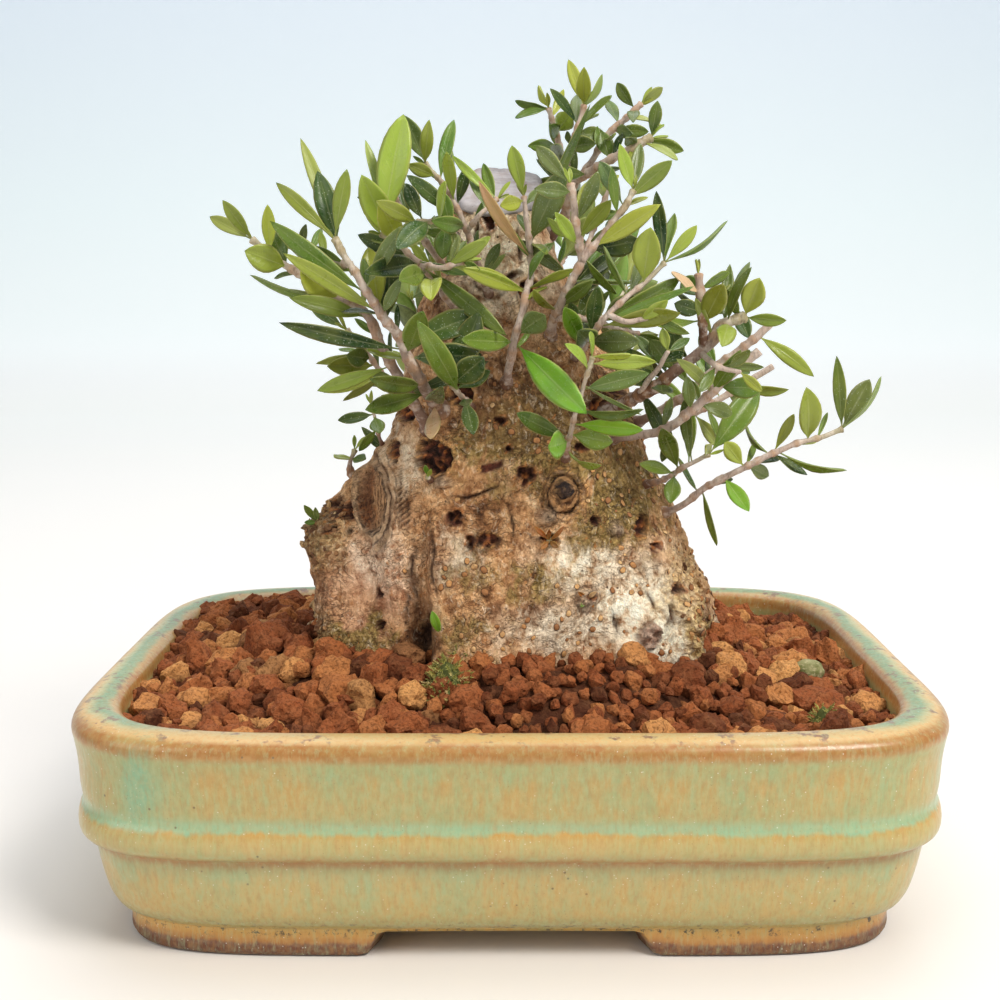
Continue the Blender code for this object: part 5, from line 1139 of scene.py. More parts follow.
# Leafy shoots. Each grows out of a collar of the trunk: grey-brown twigs with swollen leaf joints and
# small leathery leaves. The routes and leaf places are those of the solids; every twig is a fine
# tube and every leaf a folded, curved blade with a midrib, and one shoot is one mesh.
# A stem is (start radius, end radius, route, leaves); a leaf is (share along, tip x, y, z, width, tone).
SHOOTS = {
    "shoot_left_long": [(1.7, 0.7, [
        (-12, -11, 88), (-16, -23, 95.5), (-19.5, -27, 103.5), (-23.5, -30, 109.5), (-27, -31, 115.5),
        (-30, -31, 120.5)
    ], [
        (1, -40, -30, 130, 2.6, "young"), (1, -27.5, -33, 132, 3, "young"),
        (0.97, -33, -29, 132, 4.2, "dark"), (0.72, -41, -31, 123.5, 3.6, "mid"),
        (0.62, -38, -34, 118, 3, "young"), (0.95, -36.5, -27, 138, 2, "pale"),
        (0.42, -39, -37, 106.5, 3.2, "dark"), (0.4, -14.5, -40, 108.5, 4.6, "mid"),
        (0.22, -24, -36, 97, 3.8, "mid"), (0.14, -25, -34, 91.5, 3.8, "mid"),
        (0.08, -11.5, -38, 96, 3.4, "dark"), (0.04, -14, -30, 86, 3.2, "brown")
    ])],
    "shoot_left_low": [(1.5, 0.7, [
        (-14, -12, 84), (-18, -20, 92.5), (-22.5, -23, 101), (-25.5, -24, 107.5), (-31.5, -25, 111),
        (-37.5, -26, 115), (-40, -26, 116.5), (-45, -26, 120.5)
    ], [
        (1, -52.5, -25, 124.5, 2.6, "pale"), (1, -49, -28, 127, 2.6, "young"),
        (0.92, -42, -27, 126.5, 2.6, "young"), (0.84, -45.5, -31, 118.5, 5.2, "young"),
        (0.84, -42, -24, 122, 4.4, "mid"), (0.62, -36, -31, 115.5, 6.2, "young"),
        (0.6, -46, -24, 114.5, 1.4, "mid"), (0.52, -41, -25, 112, 3, "pale"),
        (0.5, -38, -28, 110.5, 3.4, "young"), (0.3, -34.5, -24, 94, 3, "young")
    ])],
    "shoot_left_behind": [(1.2, 0.7, [
        (-16, -1, 86.5), (-22.5, -8, 94), (-26.5, -12, 100), (-30, -14, 104.5)
    ], [
        (1, -37, -14, 110, 3, "mid"), (0.6, -30, -16, 100, 4.2, "mid"), (0.5, -33.5, -17, 98, 4, "young"),
        (0.35, -34.5, -15, 93, 2.6, "young"), (0.35, -31.5, -10, 91, 2, "pale"),
        (0.7, -36.5, -10, 98, 1.4, "pale")
    ])],
    "shoot_left_twig": [(0.7, 0.5, [
        (-22, 4, 78), (-24.5, -4, 82), (-25.5, -6, 86), (-26.5, -6, 90)
    ], [
        (0.75, -33, -6, 87, 1.9, "dark"), (0.7, -24.5, -11, 85, 3.2, "mid"),
        (0.35, -29, -6, 81, 2.2, "mid"), (1, -22, -6, 90, 2.2, "mid")
    ])],
    "shoot_left_stub": [(0.9, 0.7, [
        (-29, -2, 72), (-31, -4, 77.5), (-30, -4, 81)
    ], [
        (0.6, -33.5, -6, 80.5, 1, "pale"), (0.5, -27.5, -8, 80, 1.8, "mid")
    ])],
    "shoot_high_left": [(1.4, 0.7, [
        (-7.5, -8, 104.5), (-12.5, -18, 112), (-18, -24, 118.5), (-22.5, -26, 121.5)
    ], [
        (1, -18.5, -24, 142, 6.2, "young"), (0.9, -25, -34, 131, 5.2, "young"),
        (0.9, -25.5, -24, 138, 1.6, "pale"), (0.8, -22, -36, 126.5, 4.2, "young"),
        (0.7, -27, -22, 121.5, 3.4, "dark"), (0.6, -24.5, -38, 114.5, 4.4, "dark"),
        (0.5, -18.5, -40, 113.5, 4, "mid"), (0.4, -13.5, -36, 110, 4.4, "young")
    ])],
    "shoot_cut_left": [(1.1, 1.1, [
        (-10, -6, 114), (-16, -14, 121), (-22.5, -19, 130.5)
    ], [
        (0.7, -27, -16, 131, 3.6, "mid"), (0.6, -21, -12, 133, 2.8, "mid")
    ])],
    "shoot_centre_left": [(1.3, 0.6, [
        (-3.5, -7, 110), (-4.5, -15, 112.5), (-6, -19, 117), (-8, -20, 123), (-11, -20, 129),
        (-15, -20, 134)
    ], [
        (1, -18.5, -22, 142, 3.4, "grey"), (1, -14, -22, 141, 2.6, "young"),
        (0.9, -18, -24, 133.5, 2.6, "young"), (0.86, -10, -16, 142, 2.8, "mid"),
        (0.8, -10.5, -18, 137, 1.4, "pale"), (0.7, -11, -26, 135.5, 2.4, "young"),
        (0.6, -18, -26, 131.5, 3, "dark"), (0.55, -13.5, -32, 123.5, 3.2, "mid")
    ])],
    "shoot_cross_twig": [(0.9, 0.5, [
        (-6, -6, 118.5), (-9, -16, 121), (-11.5, -25, 123.5), (-16, -29, 123.5)
    ], [
        (1, -22.5, -31, 126.5, 3, "young"), (0.95, -18, -28, 130, 3, "dark"),
        (0.8, -11, -34, 130, 2.2, "young"), (0.6, -12, -24, 129, 3, "mid"),
        (0.9, -19, -36, 118.5, 4.4, "dark"), (0.7, -12, -33, 116.5, 3.6, "mid"),
        (0.5, -9.5, -34, 117.5, 2.8, "grey")
    ])],
    "shoot_centre_front": [(1.4, 0.9, [
        (-1, -14, 93), (0.5, -22, 101), (2.5, -23, 110), (3.8, -19, 115.5), (3.6, -15.5, 120)
    ], [
        (1, 9.5, -22, 133, 5.4, "grey"), (1, 14.5, -14, 145, 2, "mid"),
        (0.9, -5.5, -28, 130.5, 2.4, "brown"), (0.62, -8.5, -31, 115.5, 3.4, "young"),
        (0.64, 11, -28, 115.5, 2, "young"), (0.3, 13, -33, 91, 6, "bright"),
        (0.3, -8.5, -33, 103.5, 4.2, "mid"), (0.34, 6, -31, 107.5, 4.8, "grey"),
        (1, 6.5, -24, 118, 1.6, "young")
    ])],
    "shoot_dark_front": [(0.9, 0.6, [
        (-6.5, -12, 89.5), (-8.5, -24, 93), (-11, -28, 96)
    ], [
        (0.9, -5.5, -26, 108, 5.6, "dark"), (0.9, -4.5, -33, 100.5, 5.2, "dark"),
        (0.8, -3.5, -30, 98, 3.2, "dark"), (0.5, -7.5, -31, 92, 2.6, "dark"),
        (0.4, -6.5, -28, 86.5, 3.2, "dark"), (0.7, -15.5, -36, 107, 4.4, "mid"),
        (1, -19, -36, 90.5, 2.6, "mid")
    ])],
    "shoot_top": [(1.8, 1.2, [
        (1, 3, 117), (10, 2, 124.5), (12, -2, 131.5), (18.5, -8, 135.5), (23, -9, 138), (26, -9, 139.5)
    ], [
        (1, 27, -10, 146, 2.6, "mid"), (0.97, 32, -10, 137, 2.8, "mid"),
        (0.94, 30.5, -11, 135, 2, "pale"), (0.9, 21, -13, 139, 1.8, "mid"),
        (0.85, 23, -13, 134, 2.2, "young"), (0.6, 16, -14, 130, 3.2, "mid"), (0.5, 7, -12, 133, 3, "mid"),
        (0.7, 17, -6, 141, 3.4, "mid"), (0.35, 14, 8, 131, 3.2, "mid"), (0.4, 4, 8, 132, 3, "mid")
    ]),
    (1.2, 0.7, [
        (11.2, 0, 128.5), (10.8, 3, 135), (9, 3, 141.5), (7.5, 2, 146)
    ], [
        (1, 1, 2, 147.5, 2, "mid"), (1, 1, 0, 144, 2, "mid"), (1, 5.5, 3, 150.5, 1.6, "young"),
        (0.75, 11.5, -4, 144.5, 4.2, "young"), (0.7, 7.5, -2, 142.5, 3, "mid"),
        (0.62, 3.5, 2, 139, 2.4, "mid"), (0.6, 3.5, -2, 138.5, 2.8, "mid"), (0.5, 8, 9, 146, 2.4, "mid"),
        (0.45, 7.5, -8, 138, 3.6, "grey")
    ]),
    (1.1, 0.7, [
        (11.5, -2, 131.5), (11.7, -2.5, 138), (12.5, -3, 141), (14, -3, 146)
    ], [
        (1, 11, -2, 154.5, 2.6, "young"), (1, 13.5, -7, 152, 3, "young"),
        (0.96, 17.5, -1, 152, 2, "pale"), (0.7, 19, -6, 147.5, 1.8, "mid"),
        (0.62, 18, -2, 141, 3.2, "mid"), (0.45, 16, -8, 138.5, 3.4, "mid"), (0.7, 13, 5, 149, 2.4, "mid")
    ]),
    (1.1, 0.8, [
        (13, -3.5, 132.5), (16, -4, 136.5), (18, -5, 140), (20.5, -5, 142.5), (24.5, -5, 146)
    ], [
        (0.92, 20, -4, 150, 2.4, "mid"), (1, 28.5, -5, 149, 1.6, "pale"),
        (0.7, 18.5, 0, 147.5, 2.2, "mid"), (0.65, 22.5, -10, 140, 1.8, "grey"),
        (0.6, 26, -8, 141, 2.6, "mid"), (0.5, 18.5, -12, 139.5, 2.4, "mid"),
        (0.9, 22.5, -11, 142, 2.6, "mid"), (0.8, 29, -4, 142, 1.6, "pale")
    ])],
    "shoot_fork": [(1.8, 0.8, [
        (6.5, -6, 99.5), (8, -18, 106), (10, -22, 111.5), (13, -23, 117.5), (16.5, -23, 121.5),
        (19.5, -24, 125.5), (21.5, -24, 129)
    ], [
        (1, 19, -24, 137, 2.8, "young"), (1, 23, -23, 137.5, 2.6, "grey"),
        (0.95, 28, -26, 134, 3.4, "young"), (0.9, 16, -18, 134.5, 3.2, "grey"),
        (0.84, 17.5, -26, 133, 2.4, "mid"), (0.62, 26, -27, 126.5, 3.8, "young"),
        (0.6, 23, -24, 120.5, 4.6, "dark"), (0.55, 19, -22, 111, 1.8, "mid"),
        (0.4, 22.5, -20, 113, 1.2, "mid"), (0.25, 14.5, -27, 113.5, 2.8, "mid"),
        (0.35, 20, -20, 119, 3, "dark"), (0.2, 4, -27, 112, 1.8, "young")
    ]),
    (1.3, 1, [
        (12.7, -23, 116.8), (11.5, -25, 123), (11, -25, 127.5), (10.5, -25, 130)
    ], [
        (0.3, 17, -32, 127, 3.2, "young"), (0.5, 15, -29, 132, 3, "grey"),
        (0.3, 6.5, -22, 124.5, 2.2, "young"), (0.55, 14, -20, 131, 2.6, "young"),
        (0.2, 7.5, -28, 125, 2.4, "young"), (1, 4.5, -20, 137, 3.2, "grey"),
        (0.9, 4, -29, 129, 3.2, "grey")
    ]),
    (0.9, 0.6, [
        (13.2, -23, 118), (15.5, -19, 124.5), (18, -17, 130.5)
    ], [
        (0.7, 19.5, -13, 124, 2.6, "mid"), (0.4, 14, -13, 122, 2.8, "mid")
    ])],
    "shoot_mid_right": [(1.2, 0.7, [
        (11, -9, 98), (13.5, -22, 102), (15.8, -26.5, 106), (19.5, -27, 110), (23, -26, 112.5),
        (27, -25, 116.5)
    ], [
        (1, 25.5, -24, 129, 2.4, "dark"), (1, 29.5, -21, 125.5, 1.6, "mid"),
        (1, 32.5, -26, 123, 2.6, "young"), (1, 38.5, -25, 124, 1.2, "mid"),
        (0.82, 24, -30, 122.5, 5.4, "young"), (0.7, 16, -28, 119.5, 1.4, "mid"),
        (0.55, 30, -24, 114, 3.6, "mid"), (0.5, 31.5, -28, 112.5, 1.4, "mid"),
        (0.35, 15, -30, 112.5, 3.4, "dark"), (0.3, 11.5, -33, 105, 5.4, "dark"),
        (0.3, 22.5, -30, 103, 4.6, "grey"), (0.45, 29, -31, 108, 3.6, "young"),
        (0.25, 9, -35, 109, 3.6, "bright")
    ])],
    "shoot_front_twig": [(1, 0.6, [
        (10, -15, 79), (10.5, -27, 86), (11.5, -31, 91.5), (13, -33, 97), (14, -34, 100.5)
    ], [
        (1, 13.5, -35, 105, 1.4, "young"), (1, 20.5, -36, 101, 1.8, "young"),
        (0.95, 25.5, -33, 99.5, 3.2, "young"), (0.9, 9, -38, 103, 1.6, "young"),
        (0.75, 23.5, -37, 98, 3.6, "mid"), (0.6, 22.5, -38, 92, 1.6, "mid"),
        (0.45, 22.5, -38, 88.5, 3.4, "bright"), (0.3, 1, -34, 91, 3.4, "mid"),
        (0.25, 6.5, -35, 85.5, 5.4, "bright"), (0.35, 18, -30, 85.5, 4.2, "mid"),
        (0.1, 16, -31, 81.5, 1.6, "young")
    ])],
    "shoot_right_gnarled": [(1.8, 1.3, [
        (14, -6, 86.5), (22, -16, 91.5), (27, -20, 95), (32, -21, 99), (36, -21, 102.5), (38, -21, 105.5),
        (42, -21, 107)
    ], [
        (1, 44, -24, 114, 4.6, "young"), (1, 49, -24, 106.5, 2.6, "young"),
        (0.97, 38.5, -22, 112, 2.2, "mid"), (0.9, 37, -28, 102, 4, "young"),
        (0.88, 40, -19, 116.5, 2.6, "mid"), (0.9, 42.5, -18, 117, 1.4, "mid"),
        (0.85, 44.5, -17, 117, 1, "mid"), (0.55, 29, -20, 105, 3.6, "dark"),
        (0.5, 25, -22, 103, 3.8, "mid"), (0.45, 25.5, -14, 104.5, 2.6, "dark"),
        (0.5, 29.5, -13, 106.5, 2.4, "mid"), (0.35, 21, -22, 101.5, 4, "dark"),
        (0.35, 18.5, -24, 98.5, 4, "dark"), (0.4, 27, -27, 94, 4.4, "dark")
    ]),
    (1.2, 0.9, [
        (34.8, -21, 101.3), (34.5, -22, 106.5), (34, -22, 110.5), (33.5, -22, 114.5)
    ], [
        (0.35, 37, -28, 113, 4.6, "young"), (0.5, 29, -24, 109.5, 3.4, "dark"),
        (0.5, 39, -17, 110, 4.2, "mid"), (0.7, 31.5, -16, 114, 4, "mid"),
        (0.75, 28, -24, 115, 1.6, "brown"), (0.8, 39.5, -19, 115, 2, "mid"),
        (0.4, 24, -27, 106.5, 1.8, "mid")
    ])],
    "shoot_right_cut_front": [(1.5, 1.4, [
        (18, -12, 84), (28, -19, 86.5), (32.5, -21, 90), (38.5, -22, 95.5), (44.5, -23, 101)
    ], [
        (0.65, 29, -28, 100, 2.2, "pale"), (0.5, 31, -27, 97, 2.6, "grey"),
        (0.55, 40.5, -20, 89.5, 3.2, "grey"), (0.65, 40.5, -27, 101.5, 3.6, "mid"),
        (0.7, 45, -25, 94.5, 4.2, "mid")
    ])],
    "shoot_right_cut_back": [(1.5, 1.3, [
        (18, -1, 83), (29, -8, 89), (34, -11, 93), (39, -13, 98), (44.5, -14, 102.5), (48, -14, 105.5)
    ], [
        (0.9, 56, -16, 96, 3, "young"), (0.85, 42.5, -10, 108, 3.2, "dark"),
        (0.6, 35.5, -10, 103.5, 2.6, "mid"), (0.4, 29, -6, 100, 2.8, "mid"),
        (0.45, 36, -2, 97, 2.4, "mid"), (0.7, 46, -6, 96, 2.8, "mid")
    ])],
    "shoot_right_far": [(1.2, 1.1, [
        (17, 6, 80), (30, 8, 83.5), (40, 8, 88.5), (48, 8, 93.5), (53, 8, 96.5)
    ], [
        (0.75, 56, 6, 92, 2.2, "young"), (0.65, 49.5, 12, 89, 2.4, "pale"), (0.5, 42, 6, 82, 2, "mid"),
        (0.4, 43, 12, 80, 3, "pale"), (0.6, 38, 12, 99, 2.8, "mid"), (0.4, 30, 14, 94, 2.8, "mid")
    ])],
    "shoot_right_low": [(1.3, 0.8, [
        (24, -1, 66), (31.5, -10, 70.5), (38, -14, 76), (44.5, -17, 80), (50.5, -18, 83), (57, -18, 85),
        (61, -18, 86.5)
    ], [
        (1, 59.5, -18, 100, 2.6, "mid"), (1, 66.5, -15, 95.5, 4.4, "grey"),
        (1, 67, -21, 96.5, 1.2, "pale"), (1, 64.5, -18, 89.5, 1.4, "young"),
        (0.82, 53.5, -21, 94.5, 5, "young"), (0.66, 62, -19, 79, 1, "mid"),
        (0.62, 44, -13, 87, 1.2, "mid"), (0.5, 49, -12, 77, 3, "pale"),
        (0.48, 39, -21, 84.5, 3.4, "young"), (0.36, 44, -20, 71.5, 3.4, "bright"),
        (0.22, 39.5, -12, 63.5, 1.2, "mid"), (0.2, 32.5, -8, 80, 1.2, "mid")
    ])],
    "shoot_right_low_twig": [(1, 0.7, [
        (21, -5, 72.5), (30, -13, 77), (32.5, -17, 79.5), (36.5, -19, 82)
    ], [
        (1, 46.5, -19, 94, 5.4, "mid"), (1, 35, -26, 84.5, 2.4, "young"), (0.75, 32, -20, 92, 2.6, "mid"),
        (0.6, 25, -17, 92.5, 3, "dark"), (0.5, 27, -22, 87.5, 3.6, "mid"),
        (0.4, 23.5, -21, 80.5, 2.2, "mid"), (0.4, 29.5, -20, 73, 3.4, "mid"),
        (0.7, 34, -12, 90, 2.6, "mid")
    ])],
    "shoot_back_left_high": [(1.3, 0.7, [(-6, 5, 106), (-13, 17, 112), (-18, 25, 119)], [])],
    "shoot_back_left": [(1.4, 0.7, [(-9, 8, 94), (-17, 23, 101), (-21, 33, 109)], [])],
    "shoot_back_left_low": [(1.3, 0.7, [(-11, 10, 80), (-18, 27, 86), (-21, 37, 92)], [])],
    "shoot_back_middle_high": [(1.3, 0.7, [(-2, 5, 112), (-3, 18, 117), (-6, 29, 123)], [])],
    "shoot_back_middle": [(1.4, 0.7, [(1, 8, 95), (2, 26, 103), (3, 37, 111)], [])],
    "shoot_back_middle_low": [(1.3, 0.7, [(3, 12, 77), (6, 31, 84), (8, 41, 90)], [])],
    "shoot_back_right_high": [(1.3, 0.7, [(3, 5, 109), (10, 18, 116), (14, 27, 124)], [])],
    "shoot_back_right": [(1.4, 0.7, [(8, 6, 96), (19, 20, 105), (25, 28, 112)], [])],
    "shoot_back_right_low": [(1.3, 0.7, [(10, 9, 85), (20, 26, 91), (26, 36, 97)], [])],
}
# More leaves seen in front of the trunk: (stem, share along, tip x, y, z, width, tone).
MORE_LEAVES = {
    "shoot_centre_front": [
        (0, 0.68, -8.3, -31, 115.6, 3, "young"), (1, 1, 0.3, -18, 137.3, 3.2, "young"),
        (1, 0.94, -1.8, -24, 126.4, 3.1, "young"), (1, 0.84, 5.6, -14, 130.1, 1.9, "mid"),
    ],
    "shoot_centre_left": [
        (1, 1, -10.2, -24, 135.1, 1.8, "young"), (1, 0.95, -4.8, -18, 134.2, 2.2, "mid"),
        (1, 0.68, -7.1, -20, 132.5, 2.2, "grey"), (0, 0.56, -11.1, -25, 116.7, 2.5, "mid"),
        (0, 0.38, -10.9, -15, 121.5, 3.2, "pale"), (0, 0.33, -1.8, -20, 120.1, 2.2, "grey"),
    ],
    "shoot_high_left": [
        (0, 0.67, -0.6, -27, 103.9, 3.6, "mid"), (0, 0.72, -7.2, -29, 114.4, 1.6, "dark"),
        (1, 0.66, -4, -30, 120.3, 2.7, "young"), (1, 0.85, -3.4, -24, 121.2, 2.2, "young"),
        (1, 1, -5.2, -30, 115.3, 1.8, "mid"),
    ],
    "shoot_left_long": [
        (0, 0.51, -5.7, -24, 107.6, 5.5, "dark"), (0, 0.45, -5, -26, 100.5, 5.1, "dark"),
        (0, 0.78, -18.5, -34, 122.5, 3, "grey"), (0, 0.68, -25, -24, 119.3, 4.9, "young"),
        (0, 0.63, -21.3, -22, 117.8, 4.4, "dark"), (1, 0.7, -33.8, -18, 122.8, 1.7, "mid"),
        (1, 0.84, -35.8, -24, 123.3, 1.6, "grey"), (1, 0.97, -42.2, -22, 118.5, 1.5, "mid"),
    ],
    "shoot_fork": [
        (0, 0.43, 17.2, -12, 116.9, 5.3, "dark"), (0, 0.45, 24.5, -6, 124.4, 5.3, "mid"),
        (0, 0.56, 1.9, -14, 120.8, 2.7, "grey"), (3, 0.32, 15.9, -24, 111.8, 4.4, "dark"),
        (3, 0.56, 21.7, -26, 110.8, 4, "grey"), (3, 0.78, 24.3, -20, 107.9, 2.6, "mid"),
        (3, 1, 27.8, -20, 102.2, 2.2, "mid"), (3, 0.95, 25.5, -22, 99.8, 2.2, "grey"),
    ],
    "shoot_mid_right": [
        (1, 0.69, 27, -32, 110.2, 2.5, "young"), (1, 1, 30.8, -32, 104.4, 2.1, "mid"),
        (0, 0.46, 9.1, -18, 110, 3.7, "dark"), (0, 0.76, 23.2, -20, 116.8, 2.4, "grey"),
    ],
    "shoot_right_gnarled": [
        (2, 0.56, 33.3, -28, 94.1, 2.3, "mid"), (2, 0.79, 41.6, -30, 101.6, 2.3, "grey"),
        (2, 1, 43.9, -30, 94.3, 2, "young"), (3, 0.63, 21.5, -26, 101.4, 2.2, "mid"),
        (3, 0.81, 30.4, -28, 101.1, 2.2, "dark"), (3, 1, 26.5, -28, 105.3, 2, "young"),
        (3, 1, 31.9, -24, 103.4, 1.8, "mid"), (0, 0.69, 28.7, -18, 102.8, 2.2, "dark"),
        (0, 0.56, 24.3, -12, 98.9, 2.5, "dark"),
    ],
    "shoot_left_low": [(0, 0.25, -3.8, -22, 99.2, 2.8, "dark")],
    "shoot_front_twig": [(0, 0.83, 22.4, -36, 90.8, 0.9, "grey")],
    "shoot_right_cut_front": [
        (0, 0.41, 28.5, -14, 79.9, 2.3, "dark"), (0, 0.6, 33.2, -16, 95.4, 2.3, "mid"),
    ],
    "shoot_right_low": [(0, 0.61, 46.4, -12, 83.9, 1.5, "mid")],
}
# Side twigs that carry some of them: (start radius, end radius, route).
MORE_TWIGS = {
    "shoot_centre_front": [(0.55, 0.4, [(3.7, -16.8, 118.4), (3, -18, 123.9), (2.5, -17, 128.3)])],
    "shoot_centre_left": [(0.5, 0.35, [(-7.7, -19.9, 122.2), (-5.3, -23, 125), (-2.3, -22, 127.7)])],
    "shoot_high_left": [(0.6, 0.4, [(-16, -22.2, 116.4), (-12.3, -26, 115.6), (-8.2, -27, 116.7)])],
    "shoot_left_long": [
        (0.7, 0.4, [(-27.4, -31, 116.2), (-30.7, -27, 116.7), (-36, -22, 118.1), (-39.7, -20, 119.8)]),
    ],
    "shoot_fork": [
        (0.6, 0.4, [(8.2, -18.9, 106.7), (11.8, -24, 106.9), (17.3, -22, 105.5), (23.3, -18, 103.9)]),
    ],
    "shoot_mid_right": [(0.55, 0.4, [(17.1, -27, 107.6), (20.4, -29, 106.4), (25, -30, 107.1)])],
    "shoot_right_gnarled": [
        (0.6, 0.4, [(34.2, -21.1, 100.8), (36.4, -26, 98.6), (40.3, -28, 97.6)]),
        (0.6, 0.4, [(23.5, -17.5, 92.5), (25.8, -24, 97.4), (27.7, -27, 101.1)]),
    ],
}
BARE_ENDS = ("shoot_cut_left", "shoot_right_cut_front", "shoot_right_cut_back", "shoot_right_far")
BACK_SEED = 41
LOOKS_SEED = 7
BACK_PAIRS = 5
BACK_LEAF_LENGTH = (9.0, 13.5)
BACK_LEAF_WIDTH = (3.0, 4.6)
BACK_TONES = ("mid", "dark", "mid", "young", "bright", "grey")
LEAF_TRIES = [
    (0, 1), (-3, 1), (3, 1), (-6, 1), (6, 1), (0, 0.82), (-5, 0.85), (5, 0.85), (-9, 0.9), (9, 0.9),
    (0, 0.66), (-5, 0.7), (5, 0.7),
]
FLAT_ON_WIDTH = 2.6
# Colour of each tone of leaf, and its specks: dark on it at 0, pale at 1.
LEAF_TONES = {
    "young": (0.26, 0.33, 0.042, 0.0), "mid": (0.09, 0.16, 0.02, 0.5), "dark": (0.022, 0.06, 0.012, 1.0),
    "pale": (0.25, 0.33, 0.08, 0.2), "grey": (0.1, 0.15, 0.042, 0.8), "bright": (0.12, 0.3, 0.018, 0.35),
    "brown": (0.62, 0.4, 0.23, 0.1), "scale": (0.3, 0.09, 0.022, 0.0),
}
LEAF_STATIONS = (0.0, 0.07, 0.13, 0.2, 0.3, 0.42, 0.54, 0.66, 0.77, 0.86, 0.94)
LEAF_ACROSS = (-1.0, -0.72, -0.36, 0.0, 0.36, 0.72, 1.0, 0.6, 0.2, -0.2, -0.6)
TWIG_SIDES = 10
TWIG_SLIM = {"shoot_left_long": 0.76, "shoot_left_low": 0.76, "shoot_right_gnarled": 0.72}
TWIG_SLIM_REST = 0.57
FILL_PITCH = 4.6
FILL_TONES = ("mid", "dark", "grey", "mid", "young", "dark", "mid", "pale")
FILL_SKIP = 0.16
FILL_SKIP_RIGHT = 0.78
BUD_SHARE = 0.995
FILL_TOP = 153.5
BACK_FILL = 2
TIP_REACH = 0.6
BACK_TIP_REACH = 2.2
RUDDY = {"shoot_left_long": 0.75, "shoot_left_low": 0.75, "shoot_centre_left": 0.75,
         "shoot_right_gnarled": 1.7}
RUDDY_REST = 0.25


def smooth_route(points, per_span):
    return [Vector(row) for row in smooth_rows(points, per_span)]


def point_along(curve, share):
    """The point at a share of a curve's length, and the direction there."""
    lengths = [(b - a).length for a, b in zip(curve, curve[1:])]
    goal = share * sum(lengths)
    for (a, b), length in zip(zip(curve, curve[1:]), lengths):
        if goal <= length or b is curve[-1]:
            return a.lerp(b, min(1.0, goal / length)), (b - a).normalized()
        goal -= length


def leave_trunk(curve, trunk_tree):
    """Where a stem's curve comes out of the bark, and the curve from just outside it on."""
    fine = [point_along(curve, k / 80)[0] for k in range(81)]
    last_inside = 0
    for k, point in enumerate(fine):
        near, normal, _, _ = trunk_tree.find_nearest(point)
        if (point - near).dot(normal) < 0:
            last_inside = k
    along = (fine[min(last_inside + 4, 80)] - fine[last_inside]).normalized()
    start = fine[last_inside] + along * 1.5
    return fine[last_inside], [start] + [p for p in curve if (p - start).dot(along) > 1.5]


def lean_out(along, angle, lean):
    """A direction that leans away from a stem's own, turned round it by an angle."""
    side = along.cross(Vector((0, 0, 1))).normalized()
    out = side * math.cos(angle) + along.cross(side) * math.sin(angle)
    return along * math.cos(lean) + out * math.sin(lean)


def back_leaves(curve, draw):
    """Opposite pairs of leaves, each pair turned from the one before, for the shoots at the back."""
    rows = []
    turn = draw.uniform(0, math.pi)
    for pair in range(BACK_PAIRS):
        share = 0.3 + 0.7 * pair / (BACK_PAIRS - 1)
        base, along = point_along(curve, share)
        for half in (0, 1):
            angle = turn + half * math.pi + draw.uniform(-0.25, 0.25)
            lean = draw.uniform(0.8, 1.15) if pair < BACK_PAIRS - 1 else 0.45
            aim = lean_out(along, angle, lean) + Vector((0, 0, 0.15))
            tip = base + aim.normalized() * draw.uniform(*BACK_LEAF_LENGTH)
            tone = BACK_TONES[(pair * 2 + half) % len(BACK_TONES)]
            rows.append((share, tip.x, tip.y, tip.z, draw.uniform(*BACK_LEAF_WIDTH), tone))
        turn += math.pi / 2 + draw.uniform(-0.3, 0.3)
    return rows


class Growth:
    """Points and faces of one shoot as it is put together, with what its materials read."""

    def __init__(self):
        self.verts, self.faces, self.finish, self.blade, self.colour = [], [], [], [], []

    def add(self, verts, faces, finish, blade, colour):
        start = len(self.verts)
        self.verts += [tuple(v) for v in verts]
        self.faces += [tuple(start + k for k in face) for face in faces]
        self.finish += [finish] * len(faces)
        self.blade += blade
        self.colour += colour


